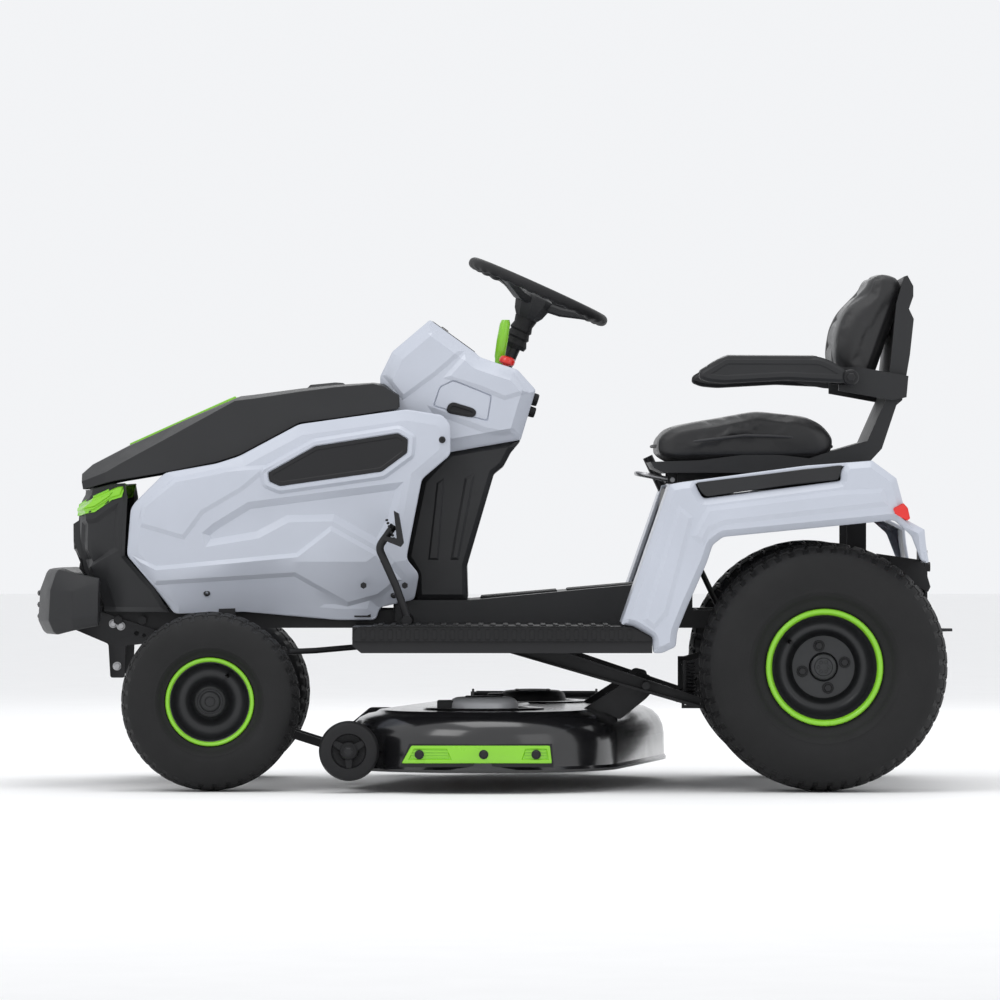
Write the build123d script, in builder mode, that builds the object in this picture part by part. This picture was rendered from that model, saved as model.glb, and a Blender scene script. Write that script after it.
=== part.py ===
"""Battery ride-on lawn tractor with a two-blade side-discharge deck, in millimetres.

-X is the front, +Y the machine's right-hand side, +Z up, and the ground is z = 0.
Everything is drawn about the machine's middle plane y = 0, and write() then sets it
about the middle of the whole machine, whose discharge chute reaches out to the right.
"""

from build123d import *
import os
from math import asin, atan2, cos, degrees, hypot, radians, sin, sqrt, tan

os.makedirs("parts", exist_ok=True)

# Wheels and wheelbase
wheelbase = 1250
wheelbase_middle = 45
front_tyre_radius = 183
front_tyre_width = 150
front_track = 750
front_rim_radius = 92.5
rear_tyre_radius = 254
rear_tyre_width = 203
rear_track = 780
rear_rim_radius = 120
front_x = wheelbase_middle - wheelbase / 2
rear_x = wheelbase_middle + wheelbase / 2

# Clearances
running_gap = 0.05
seat_gap = 0.3

# Chassis frame
rail_half = 170
rail_bottom = 329
rail_height = 37
rail_wall = 4
rail_flange = 38
rail_top = rail_bottom + rail_height
rail_front_x = front_x - 232
rail_rear_x = rear_x + 223

# Front axle and steering
kingpin_y = 270
kingpin_radius = 11
spindle_radius = 9.5
axle_bottom = 212
axle_height = 46
axle_pivot_z = axle_bottom + axle_height / 2
axle_pin_radius = 12
knuckle_arm_thickness = 10
tie_arm = 110
drag_arm = (144, 20)
ball_stud_radius = 6
tie_rod_radius = 7
steering_ratio = 6
sector_radius = 54
column_tilt = 24.3
steering_centre = (front_x + 671, 1031)
steering_wheel_radius = 145
steering_rim_radius = 13
steering_shaft_radius = 9.5
column_tube_radius = 16
pinion_shaft_radius = 8

# Bodywork widths, half values
hood_half_rear = 245
hood_half_front = 200
panel_half_rear = 262
panel_half_front = 224
panel_wall = 5
tuck_z = 398
tuck_half = 222
console_half = 205
pedestal_half = 182
tunnel_half = 182
board_half = 470
board_top = 336
fender_outer = 480
fender_inner = 234

# Mower deck and its lift
deck_half = 265
deck_stagger = 103
lobe_radius = 280
deck_bottom = 42
deck_height = 122
deck_wall = 4
blade_tip_gap = 18
blade_radius = lobe_radius - blade_tip_gap
deck_x = wheelbase_middle - 16
lift_height = 76
arm_pivot = (wheelbase_middle - 10, 300)
arm_to_deck = (276, -88)
arm_to_end = (366, -117)
arm_half = 260
crank_length = 120
lift_link_length = 65

# Seat
seat_half = 240
back_half = 215
deck_seat_z = 618
seat_rail_height = 32

# Machine reach to either side, which sets the origin half way
deck_reach_left = 560
chute_reach_right = 720
origin_y = (chute_reach_right - deck_reach_left) / 2


def write(name, builder):
    """Label a finished sub-part, set it about the machine's middle, and write it."""
    builder.part.label = name
    builder.part.position = (0, -origin_y, 0)
    export_step(builder.part, f"parts/{name}.step")


def along(points, x):
    """Side-view points given from a datum, moved to that datum's x."""
    return [(px + x, pz) for px, pz in points]


def slab(points, y_low, y_high, mode=Mode.ADD):
    """A side-view outline (x, z) as a solid from y_low to y_high."""
    with BuildSketch(Plane.XZ.offset(-y_low)) as outline:
        with BuildLine():
            Polyline(*points, close=True)
        make_face()
    extrude(outline.sketch, amount=y_low - y_high, mode=mode)


def strip(points, shift, y_low, y_high, mode=Mode.ADD):
    """A sheet that follows an open side-view line and is as thick as the shift."""
    back = [(x + shift[0], z + shift[1]) for x, z in reversed(points)]
    slab([*points, *back], y_low, y_high, mode)


def plate(points, z_low, z_high, mode=Mode.ADD):
    """A plan outline (x, y) as a solid from z_low to z_high."""
    with BuildSketch(Plane.XY.offset(z_low)) as outline:
        with BuildLine():
            Polyline(*points, close=True)
        make_face()
    extrude(outline.sketch, amount=z_high - z_low, mode=mode)


def block(x_low, x_high, y_low, y_high, z_low, z_high, mode=Mode.ADD):
    """A box between two corners."""
    with Locations(((x_low + x_high) / 2, (y_low + y_high) / 2, (z_low + z_high) / 2)):
        Box(x_high - x_low, y_high - y_low, z_high - z_low, mode=mode)


def rod(start, end, radius, mode=Mode.ADD):
    """A round bar or hole from start to end."""
    run = Vector(*end) - Vector(*start)
    with BuildSketch(Plane(origin=start, z_dir=run)) as section:
        Circle(radius)
    extrude(section.sketch, amount=run.length, mode=mode)


def bent_rod(points, radius, bend):
    """A round bar along a path whose corners are rounded."""
    with BuildLine() as path:
        FilletPolyline(*points, radius=bend)
    with BuildSketch(Plane(origin=path.line @ 0, z_dir=path.line % 0)) as section:
        Circle(radius)
    sweep(section.sketch, path=path.line)


def eye(x, y, z_low, z_high, radius, hole):
    """A flat ring with a vertical hole."""
    rod((x, y, z_low), (x, y, z_high), radius)
    rod((x, y, z_low), (x, y, z_high), hole, mode=Mode.SUBTRACT)


def hex_bolt(x, y, z, direction, across=17, height=7):
    """A hex head that stands on a face at (x, y, z)."""
    with BuildSketch(Plane(origin=(x, y, z), z_dir=direction)) as head:
        RegularPolygon(across / 2, 6, major_radius=False)
    extrude(head.sketch, amount=height)


# Chassis: ladder frame with axle hanger, column tube and cross members
kingpin_arm_z = axle_bottom + axle_height + 2
hanger_gap = 39
hanger_wall = 6
hanger_bottom = 195
link_front_x = front_x - 26
link_front_z = 164
link_pin_radius = 8
link_ear_half = 70
axis_x = sin(radians(column_tilt))
axis_z = cos(radians(column_tilt))
joint_z = 392
joint_x = steering_centre[0] - (steering_centre[1] - joint_z) * tan(radians(column_tilt))
tube_low_z = 430
tube_high_z = 930
sector_pivot_y = -60
gear_distance = sector_radius + sector_radius / steering_ratio + seat_gap
sector_pivot_x = joint_x + sqrt(gear_distance**2 - sector_pivot_y**2)
steering_plate_z = 345
steering_plate_wall = 6
pivot_shaft_radius = 10
brake_shaft = (front_x + 400, 347)
drive_shaft = (front_x + 460, 347)
pedal_shaft_radius = 8
lift_rise = degrees(asin((arm_to_deck[1] + lift_height) / hypot(*arm_to_deck)))
lift_start = degrees(atan2(arm_to_deck[1], arm_to_deck[0]))
lift_angle = lift_rise - lift_start
arm_end = (arm_pivot[0] + arm_to_end[0], arm_pivot[1] + arm_to_end[1])
crank_rest = 15.6
crank_travel = 51
lift_axis = (
    arm_end[0] + crank_length * cos(radians(crank_rest)),
    arm_end[1] + lift_link_length + crank_length * sin(radians(crank_rest)),
)
lift_shaft_radius = 11
arm_pin_radius = 9
deck_pin_radius = 8
lift_bracket_y = 176


def column_point(z):
    """Where the steering axis passes height z."""
    return (steering_centre[0] - (steering_centre[1] - z) * axis_x / axis_z, 0, z)


with BuildPart() as frame_rails:
    for side in (-1, 1):
        outer = side * rail_half
        web = side * (rail_half - rail_wall)
        lip = side * (rail_half - rail_flange)
        block(rail_front_x, rail_rear_x, min(outer, web), max(outer, web), rail_bottom, rail_top)
        for low in (rail_bottom, rail_top - rail_wall):
            block(rail_front_x, rail_rear_x, min(web, lip), max(web, lip), low, low + rail_wall)
    inner = rail_half - rail_wall
    for x_low in (rail_front_x, rear_x - 250, rail_rear_x - rail_wall):
        block(x_low, x_low + rail_wall, -inner, inner, rail_bottom, rail_top)
    block(front_x + 350, front_x + 700, -inner, inner, steering_plate_z,
        steering_plate_z + steering_plate_wall)
    block(front_x + 50, front_x + 340, -inner, inner, rail_top - rail_wall, rail_top)
    # Hanger plates in front of and behind the axle beam, with the lift link's ears
    for x_low in (front_x - hanger_gap - hanger_wall, front_x + hanger_gap):
        block(x_low, x_low + hanger_wall, -rail_half, rail_half, hanger_bottom, rail_bottom)
        for side in (-1, 1):
            plate(
                [(x_low - 1, side * 60), (x_low - 1, side * 300), (x_low + 8, side * 300),
                    (x_low + 8, side * 60)],
                hanger_bottom - 1,
                axle_pivot_z + 20,
                mode=Mode.SUBTRACT,
            )
    for side in (-1, 1):
        ear = sorted((side * link_ear_half, side * (link_ear_half + hanger_wall)))
        block(front_x - hanger_gap - hanger_wall, front_x - 8, *ear, link_front_z - 16, axle_bottom - 12)
        block(front_x - hanger_gap - hanger_wall, front_x - hanger_gap, *ear, axle_bottom - 14,
            axle_pivot_z + 40)
    rod(
        (front_x - 90, 0, axle_pivot_z),
        (front_x + 90, 0, axle_pivot_z),
        axle_pin_radius + running_gap,
        mode=Mode.SUBTRACT,
    )
    rod(
        (link_front_x, -200, link_front_z),
        (link_front_x, 200, link_front_z),
        link_pin_radius + running_gap,
        mode=Mode.SUBTRACT,
    )
    # Steering column tube on two struts
    rod(column_point(tube_low_z), column_point(tube_high_z), column_tube_radius)
    strut_x = column_point(tube_low_z + 30)[0]
    for side in (-1, 1):
        strut = sorted((side * 24, side * 30))
        block(strut_x - 30, strut_x + 30, *strut, steering_plate_z + steering_plate_wall, tube_low_z + 70)
        gusset = sorted((side * 14, side * 26))
        block(strut_x - 12, strut_x + 12, *gusset, tube_low_z + 20, tube_low_z + 40)
    rod(column_point(tube_low_z - 60), column_point(tube_high_z + 30),
        steering_shaft_radius + running_gap, mode=Mode.SUBTRACT)
    # Bearing holes for the pinion, the steering sector and the pedal shafts
    rod((joint_x, 0, 330), (joint_x, 0, 360), pinion_shaft_radius + running_gap, mode=Mode.SUBTRACT)
    rod(
        (sector_pivot_x, sector_pivot_y, 335),
        (sector_pivot_x, sector_pivot_y, 360),
        pivot_shaft_radius + running_gap,
        mode=Mode.SUBTRACT,
    )
    rod(
        (brake_shaft[0], -rail_half - 1, brake_shaft[1]),
        (brake_shaft[0], -120, brake_shaft[1]),
        pedal_shaft_radius + running_gap,
        mode=Mode.SUBTRACT,
    )
    rod(
        (drive_shaft[0], 120, drive_shaft[1]),
        (drive_shaft[0], rail_half + 1, drive_shaft[1]),
        pedal_shaft_radius + running_gap,
        mode=Mode.SUBTRACT,
    )
    # Lift shaft brackets and the deck arms' pivot brackets
    for side in (-1, 1):
        bracket = sorted((side * rail_half, side * lift_bracket_y))
        block(lift_axis[0] - 25, lift_axis[0] + 25, *bracket, lift_axis[1] - 25, rail_top)
        block(arm_pivot[0] - 25, arm_pivot[0] + 25, *bracket, arm_pivot[1] - 22, rail_top - 10)
    rod((lift_axis[0], -200, lift_axis[1]), (lift_axis[0], 200, lift_axis[1]),
        lift_shaft_radius + running_gap, mode=Mode.SUBTRACT)
    rod((arm_pivot[0], -200, arm_pivot[1]), (arm_pivot[0], 200, arm_pivot[1]),
        arm_pin_radius + running_gap, mode=Mode.SUBTRACT)
    # Brackets that hold the side panels' tucked lower band
    for side in (-1, 1):
        for x_low in (front_x + 10, front_x + 290):
            reach = sorted((side * (rail_half - 1), side * (tuck_half - panel_wall - seat_gap)))
            block(x_low, x_low + 34, *reach, rail_top - 14, rail_top + 6)
    # Uprights that carry the seat deck
    for x_low in (rear_x - 300, rear_x + 60):
        for side in (-1, 1):
            leg = sorted((side * 160, side * 166))
            block(x_low, x_low + 40, *leg, rail_top - rail_wall, deck_seat_z - 4)
write("frame_rails", frame_rails)


# Front axle beam and knuckles
with BuildPart() as axle_beam:
    rod((front_x - 46, 0, axle_pivot_z), (front_x + 46, 0, axle_pivot_z), axle_pin_radius)
    block(front_x - 18, front_x + 18, -kingpin_y, kingpin_y, axle_bottom + 6, axle_bottom + axle_height - 6)
    block(front_x - 36, front_x + 36, -60, 60, axle_bottom, axle_bottom + axle_height)
    for side in (-1, 1):
        end = (front_x, side * kingpin_y)
        rod((*end, axle_bottom), (*end, axle_bottom + axle_height), 2 * kingpin_radius)
        rod((*end, 0), (*end, 400), kingpin_radius + running_gap, mode=Mode.SUBTRACT)
write("axle_beam", axle_beam)

drag_end = (front_x + drag_arm[0], -kingpin_y + drag_arm[1])
arm_low = kingpin_arm_z
arm_high = arm_low + knuckle_arm_thickness
for name, side in (("knuckle_left", -1), ("knuckle_right", 1)):
    with BuildPart() as knuckle:
        end = (front_x, side * kingpin_y)
        rod((*end, axle_bottom - 40), (*end, arm_high), kingpin_radius)
        rod((*end, axle_bottom - 44), (*end, axle_bottom - 2), 1.6 * kingpin_radius)
        rod(
            (front_x, side * (kingpin_y - 6), front_tyre_radius),
            (front_x, side * (front_track / 2 + 22), front_tyre_radius),
            spindle_radius,
        )
        inner = front_x - 14
        tip = front_x + tie_arm
        arm = [(inner, -14), (front_x + 20, -18), (tip, -12), (tip + 10, 0), (tip, 12),
            (front_x + 20, 18), (inner, 14)]
        plate([(x, y + side * kingpin_y) for x, y in arm], arm_low, arm_high)
        rod((tip, side * kingpin_y, arm_low - 24), (tip, side * kingpin_y, arm_low), ball_stud_radius)
        if side < 0:
            inboard = [(front_x, -12), (drag_arm[0] + front_x, 8), (drag_arm[0] + front_x + 12, 20)]
            inboard += [(drag_arm[0] + front_x, 32), (front_x + 60, 22), (front_x, 12)]
            plate([(x, y - kingpin_y) for x, y in inboard], arm_low, arm_high)
            rod((*drag_end, arm_high), (*drag_end, arm_high + 22), ball_stud_radius)
    write(name, knuckle)

tie_z = arm_low - 18
with BuildPart() as tie_rod:
    tie_x = front_x + tie_arm
    rod((tie_x, -kingpin_y + 10, tie_z + 6), (tie_x, kingpin_y - 10, tie_z + 6), tie_rod_radius)
    for side in (-1, 1):
        eye(tie_x, side * kingpin_y, tie_z, tie_z + 12, 14, ball_stud_radius + running_gap)
write("tie_rod", tie_rod)

# Steering: wheel, inclined shaft, vertical pinion, sector with pitman arm, drag link
pitman_end = (sector_pivot_x + drag_arm[0], sector_pivot_y + drag_arm[1])
link_z = 300
with BuildPart() as drag_link:
    front_z = arm_high + 5
    path = [
        (drag_end[0] + 6, drag_end[1], front_z + 6),
        (drag_end[0] + 66, drag_end[1] + 30, front_z + 8),
        (pitman_end[0] - 120, pitman_end[1] - 55, link_z),
        (pitman_end[0] - 18, pitman_end[1] - 8, link_z),
    ]
    bent_rod(path, 6, 40)
    eye(*drag_end, front_z, front_z + 12, 14, ball_stud_radius + running_gap)
    eye(*pitman_end, link_z - 3, link_z + 3, 22, 14)
write("drag_link", drag_link)

pinion_radius = sector_radius / steering_ratio
sector_low = steering_plate_z - 12
with BuildPart() as sector_arm:
    pivot = (sector_pivot_x, sector_pivot_y)
    rod((*pivot, sector_low), (*pivot, steering_plate_z + 20), pivot_shaft_radius)
    rod((*pivot, sector_low), (*pivot, sector_low + 9), sector_radius)
    rod((*pivot, 318), (*pivot, sector_low), 20)
    pitman = [(0, -18), (drag_arm[0], drag_arm[1] - 12), (drag_arm[0] + 12, drag_arm[1])]
    pitman += [(drag_arm[0], drag_arm[1] + 12), (0, 18)]
    plate([(x + pivot[0], y + pivot[1]) for x, y in pitman], 318, 326)
    rod((*pitman_end, 284), (*pitman_end, 318), ball_stud_radius)
    rod((*pitman_end, 280), (*pitman_end, 286), 10)
write("sector_arm", sector_arm)

with BuildPart() as pinion_shaft:
    rod((joint_x, 0, sector_low), (joint_x, 0, joint_z - 22), pinion_shaft_radius)
    rod((joint_x, 0, sector_low), (joint_x, 0, sector_low + 9), pinion_radius)
    rod((joint_x, 0, joint_z - 32), (joint_x, 0, joint_z - 16), 15)
write("pinion_shaft", pinion_shaft)

axis_direction = (axis_x, 0, axis_z)
wheel_plane = Plane(origin=(steering_centre[0], 0, steering_centre[1]), x_dir=(0, 1, 0),
    z_dir=axis_direction)
hub_radius = 34
with BuildPart() as steering_shaft:
    rod(column_point(joint_z - 2), column_point(steering_centre[1] - 24), steering_shaft_radius)
    rod(column_point(joint_z), column_point(joint_z + 16), 14)
write("steering_shaft", steering_shaft)

with BuildPart() as steering_wheel:
    with Locations(wheel_plane):
        Torus(steering_wheel_radius, steering_rim_radius)
    rod(column_point(steering_centre[1] - 62), column_point(steering_centre[1] - 22), hub_radius)
    for spoke in (20, 160, 270):
        hub_point = wheel_plane.offset(-38).from_local_coords(Vector(20, 0, 0).rotate(Axis.Z, spoke))
        rim_point = wheel_plane.from_local_coords(Vector(steering_wheel_radius - 4,
            0, 0).rotate(Axis.Z, spoke))
        rod(tuple(hub_point), tuple(rim_point), 10)
    rod(column_point(steering_centre[1] - 80), column_point(steering_centre[1] - 24),
        steering_shaft_radius, mode=Mode.SUBTRACT)
write("steering_wheel", steering_wheel)


def turned(x, z, points, shoulder_points=(), shoulder=0, mode=Mode.ADD):
    """A section (y, radius) turned about the wheel axis at (x, z), some corners rounded."""
    with BuildSketch(Plane.YZ.offset(x)) as section:
        with BuildLine():
            Polyline(*[(y, z + radius) for y, radius in points], close=True)
        make_face()
        if shoulder:
            corners = [
                v
                for v in section.vertices()
                if any(abs(v.Y - y) < 1 and abs(v.Z - z - radius) < 1 for y, radius in shoulder_points)
            ]
            fillet(corners, radius=shoulder)
    revolve(section.sketch, axis=Axis((x, 0, z), (0, 1, 0)), mode=mode)


def tyre(x, y, outer, width, rim, bead, shoulder):
    """A tyre whose beads sit between the rim flanges and whose shoulders are rounded."""
    half = width / 2
    crown = [(y - half, outer), (y + half, outer)]
    right = [(y + half, rim + 34), (y + bead, rim + 8), (y + bead, rim)]
    left = [(y - bead, rim), (y - bead, rim + 8), (y - half, rim + 34)]
    turned(x, outer, [*crown, *right, *left], crown, shoulder)


def rim(x, z, side, middle, width, radius, bore, hub_outer, disc_at):
    """A wheel rim: barrel with flanges, a dished disc and a bored hub."""
    low, high = middle - width / 2, middle + width / 2
    barrel = [(low, radius - seat_gap), (high, radius - seat_gap), (high, radius - 6), (low, radius - 6)]
    turned(x, z, [(side * y, r) for y, r in barrel])
    for edge in (low - 5, high):
        flange = [(edge, radius + 7), (edge + 5, radius + 7), (edge + 5, radius - 12), (edge, radius - 12)]
        turned(x, z, [(side * y, r) for y, r in flange])
    disc = [(disc_at, 1), (disc_at + 6, 1), (disc_at + 6, radius - 3), (disc_at, radius - 3)]
    turned(x, z, [(side * y, r) for y, r in disc])
    hub = [(disc_at - 34, 1), (hub_outer, 1), (hub_outer, bore + 14), (disc_at - 34, bore + 14)]
    turned(x, z, [(side * y, r) for y, r in hub])
    rod((x, -600, z), (x, 600, z), bore, mode=Mode.SUBTRACT)


# Wheels
front_rim_width = front_tyre_width - 52
rear_rim_width = rear_tyre_width - 60
front_disc_y = front_track / 2 - 6
rear_disc_y = rear_track / 2 - 12
axle_shaft_radius = 12.5
for name, side in (("left", -1), ("right", 1)):
    front_y = front_track / 2
    with BuildPart() as front_tyre:
        tyre(front_x, side * front_y, front_tyre_radius, front_tyre_width, front_rim_radius,
            front_rim_width / 2 - seat_gap, 34)
    write(f"front_tyre_{name}", front_tyre)
    with BuildPart() as front_rim:
        bore = spindle_radius + running_gap
        rim(front_x, front_tyre_radius, side, front_y, front_rim_width, front_rim_radius, bore,
            front_y + 34, front_disc_y)
    write(f"front_rim_{name}", front_rim)
    rear_y = rear_track / 2
    with BuildPart() as rear_tyre:
        tyre(rear_x, side * rear_y, rear_tyre_radius, rear_tyre_width, rear_rim_radius,
            rear_rim_width / 2 - seat_gap, 44)
    write(f"rear_tyre_{name}", rear_tyre)
    with BuildPart() as rear_rim:
        bore = axle_shaft_radius + running_gap
        rim(rear_x, rear_tyre_radius, side, rear_y, rear_rim_width, rear_rim_radius, bore, rear_y + 16,
            rear_disc_y)
        for angle in range(4):
            bolt_x = rear_x + 50 * cos(radians(45 + 90 * angle))
            bolt_z = rear_tyre_radius + 50 * sin(radians(45 + 90 * angle))
            hex_bolt(bolt_x, side * (rear_disc_y + 5), bolt_z, (0, side, 0), 17, 12)
    write(f"rear_rim_{name}", rear_rim)

# Transaxle with its axle shafts and the bars that hang it from the rails
housing_half = 105
with BuildPart() as transaxle:
    block(rear_x - 85, rear_x + 85, -housing_half, housing_half, rear_tyre_radius - 62, rail_bottom - 10)
    rod((rear_x, -276, rear_tyre_radius), (rear_x, 276, rear_tyre_radius), 32)
    rod((rear_x, -rear_y - 12, rear_tyre_radius), (rear_x, rear_y + 12, rear_tyre_radius),
        axle_shaft_radius)
    for side in (-1, 1):
        pad = sorted((side * (rail_half - rail_flange), side * rail_half))
        block(rear_x - 30, rear_x + 30, *pad, rear_tyre_radius, rail_bottom)
write("transaxle", transaxle)

# Battery packs on the tray between the rails, in front of the console
pack_length = 82
with BuildPart() as battery_packs:
    for row in range(3):
        for side in (-1, 1):
            x_low = front_x + 62 + row * (pack_length + 8)
            pack = sorted((side * 6, side * 160))
            block(x_low, x_low + pack_length, *pack, rail_top, rail_top + 215)
write("battery_packs", battery_packs)


def tapered(points, plan):
    """A side-view outline across the whole machine, cut to a plan outline of half widths."""
    slab(points, -600, 600)
    outline = [*plan, *[(x, -y) for x, y in reversed(plan)]]
    plate(outline, 0, 1200, mode=Mode.INTERSECT)


# Hood, hinged at its rear end
hood_wall = 5
hood_hinge = (front_x + 345, 822)
hinge_pin_radius = 6
hinge_ear_y = 150
hinge_ear_wall = 8
hood_top = [(-279, 615), (-277, 651), (-259, 666), (-183, 707), (51, 810), (249, 833), (330, 838),
    (350, 834)]
hood_top += [(378, 812), (384, 787)]
hood_low = [(177, 756), (53, 690), (6, 675), (-102, 654), (-204, 637), (-272, 615)]
hood_plan = [(-290, 168), (-262, hood_half_front), (51, hood_half_rear - 8), (400, hood_half_rear)]
with BuildPart() as hood_core:
    top = [(x + 6, z - 7) for x, z in hood_top[1:-2]]
    rear = [(372, 806), (378, 740), (177, 700), (-268, 560)]
    tapered(along([*top, *rear], front_x), [(x + front_x + 5, y - hood_wall) for x, y in hood_plan])
with BuildPart() as hood_shell:
    tapered(along([*hood_top, *hood_low], front_x), [(x + front_x, y) for x, y in hood_plan])
    add(hood_core.part, mode=Mode.SUBTRACT)
    for side in (-1, 1):
        notch = sorted((side * (hinge_ear_y - 0.2), side * (hinge_ear_y + hinge_ear_wall + 1.3)))
        block(hood_hinge[0] - 18, front_x + 400, *notch, 770, 850, mode=Mode.SUBTRACT)
        rib = sorted((side * (hinge_ear_y - hinge_ear_wall), side * (hinge_ear_y - seat_gap)))
        block(hood_hinge[0] - 22, hood_hinge[0] + 9, *rib, hood_hinge[1] - 9, hood_hinge[1] + 12)
        rod(
            (hood_hinge[0], side * (hinge_ear_y - 4), hood_hinge[1]),
            (hood_hinge[0], side * (hinge_ear_y + hinge_ear_wall + 0.8), hood_hinge[1]),
            hinge_pin_radius,
        )
write("hood_shell", hood_shell)

# Side panels: the lower band is tucked in to leave the turned front tyres room
panel_outline = [(-101, 650), (-164, 588), (-172, 575), (-180, 480), (-124, 414), (-82, 359), (62, 363)]
panel_outline += [(256, 345), (335, 344), (342, 372), (414, 388), (424, 441), (398, 473), (430, 637),
    (489, 687)]
panel_outline += [(489, 749), (473, 769), (398, 781), (177, 750), (53, 684), (6, 669)]
panel_plan = [(-190, panel_half_front), (60, panel_half_rear), (500, panel_half_rear)]
for name, side in (("side_panel_left", -1), ("side_panel_right", 1)):
    with BuildPart() as side_panel:
        outer = [(x + front_x, side * y) for x, y in panel_plan]
        inner = [(x + front_x, side * (y - panel_wall)) for x, y in reversed(panel_plan)]
        plate([*outer, *inner], tuck_z, 800)
        ledge = [(front_x + 500, side * (tuck_half - panel_wall)),
            (front_x - 190, side * (tuck_half - panel_wall))]
        plate([*outer, *ledge], tuck_z, tuck_z + panel_wall)
        band = sorted((side * tuck_half, side * (tuck_half - panel_wall)))
        block(front_x - 190, front_x + 500, *band, 340, tuck_z + panel_wall)
        slab(along(panel_outline, front_x), -600, 600, mode=Mode.INTERSECT)
    write(name, side_panel)

# Front fascia with its lamps
fascia_outline = [(-262, 606), (-288, 584), (-291, 492), (-276, 478), (-281, 454), (-244, 376)]
fascia_outline += [(-236, rail_top + seat_gap), (-98, rail_top + seat_gap), (-130, 412), (-184, 478),
    (-176, 576), (-168, 592), (-184, 630)]
fascia_plan = [(-292, 178), (-250, panel_half_front - 22), (-180, panel_half_front - 6)]
with BuildPart() as fascia_core:
    core = [(-150, 620), (-262, 598), (-282, 578), (-285, 496), (-270, 476), (-275, 454), (-240, 384),
        (-100, 375), (-90, 420)]
    tapered(along(core, front_x), [(x + front_x + 6, y - 5) for x,
        y in [*fascia_plan, (-80, panel_half_front - 6)]])
with BuildPart() as grille_fascia:
    tapered(along(fascia_outline, front_x),
        [(x + front_x, y) for x, y in [*fascia_plan, (-90, panel_half_front - 8)]])
    add(fascia_core.part, mode=Mode.SUBTRACT)
    for row in range(5):
        slot_z = 500 + 14 * row
        block(front_x - 300, front_x - 280, -90, 90, slot_z, slot_z + 6, mode=Mode.SUBTRACT)
write("grille_fascia", grille_fascia)

with BuildPart() as headlight_bezels:
    for side in (-1, 1):
        bezel = sorted((side * 96, side * 165))
        slab(along([(-289, 562), (-296, 562), (-301, 592), (-279.4, 592), (-288.4, 584)], front_x), *bezel)
        frame_y = sorted((side * 104, side * 157))
        block(front_x - 310, front_x - 270, *frame_y, 568, 583, mode=Mode.SUBTRACT)
write("headlight_bezels", headlight_bezels)

tail_lamp = [(162.6, 577), (164.6, 557), (178, 557), (172, 577)]
with BuildPart() as lamps:
    for side in (-1, 1):
        lens = sorted((side * 104.3, side * 156.7))
        block(front_x - 297, front_x - 289, *lens, 568.3, 582.7)
        tail = sorted((side * 330, side * 430))
        slab(along(tail_lamp, rear_x), *tail)
write("lamps", lamps)

# Front bumper bar on two hanger plates bolted to the rails
bumper_outline = [(-372, 345), (-350, 315), (-250, 327), (-250, 440), (-300, 453), (-335, 445), (-366, 410)]
bumper_front = [(-378, 150), (-340, 225), (-262, 262), (-250, 254), (-302, 210), (-322, 150)]
hanger = [(-235, 361), (-113, 361), (-113, 331), (-180, 300), (-185, 225), (-217, 225), (-231, 300)]
hanger += [(-300, 325), (-330, 345), (-330, 410), (-300, 410)]
with BuildPart() as bumper_bar:
    slab(along(bumper_outline, front_x), -300, 300)
    half_bar = [(x + front_x, y) for x, y in bumper_front]
    plate([*half_bar, *[(x, -y) for x, y in reversed(half_bar)]], 300, 460, mode=Mode.INTERSECT)
with BuildPart() as front_bumper:
    add(bumper_bar.part)
    for side in (-1, 1):
        wall = sorted((side * rail_half, side * (rail_half + 6)))
        slab(along(hanger, front_x), *wall)
write("front_bumper", front_bumper)

# Console: upper body, pedestal, display and access door
knob_axis = Vector(0.3, 0, 0.954)
knob_at = (front_x + 602, -90, 871.6)
knob_stem_radius = 6
lever_foot = (front_x + 586, 876)
lever_foot_y = -60
console_outline = [(343, 855), (368, 901), (446, 967), (540, 899), (549, 890), (583, 878), (627, 864),
    (665, 822)]
console_outline += [(634, 719), (549, 704), (493, 693.3), (493, 749), (476, 773), (396, 786),
    (390, 815), (362, 838)]
console_inner = [(352, 856), (374, 897), (446, 958), (536, 894), (547, 885), (581, 873), (623, 860),
    (659, 822)]
console_inner += [(630, 680), (499, 680), (499, 752), (480, 779), (402, 791), (396, 818), (367, 843)]
with BuildPart() as console_core:
    slab(along(console_inner, front_x), 5 - console_half, console_half - 5)
with BuildPart() as console_upper:
    slab(along(console_outline, front_x), -console_half, console_half)
    add(console_core.part, mode=Mode.SUBTRACT)
    for side in (-1, 1):
        ear = sorted((side * hinge_ear_y, side * (hinge_ear_y + hinge_ear_wall)))
        block(hood_hinge[0] - 10, front_x + 394, *ear, hood_hinge[1] - 10, hood_hinge[1] + 8)
    rod((hood_hinge[0], -200, hood_hinge[1]), (hood_hinge[0], 200, hood_hinge[1]),
        hinge_pin_radius + running_gap, mode=Mode.SUBTRACT)
    rod(column_point(700), column_point(1000), column_tube_radius + 3, mode=Mode.SUBTRACT)
    rod(tuple(Vector(*knob_at) - knob_axis * 16), tuple(Vector(*knob_at) + knob_axis * 16),
        knob_stem_radius + 0.3, mode=Mode.SUBTRACT)
    x, z = lever_foot
    block(x - 9, x + 22, lever_foot_y - 7, lever_foot_y + 7, z - 30, z + 12, mode=Mode.SUBTRACT)
    for y in (lever_foot_y - 14, lever_foot_y + 8):
        block(x - 9, x + 9, y, y + 6, z - 26, z + 1)
    rod((x, lever_foot_y - 20, z - 18), (x, lever_foot_y + 20, z - 18), 6 + running_gap, mode=Mode.SUBTRACT)
write("console_upper", console_upper)

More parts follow.
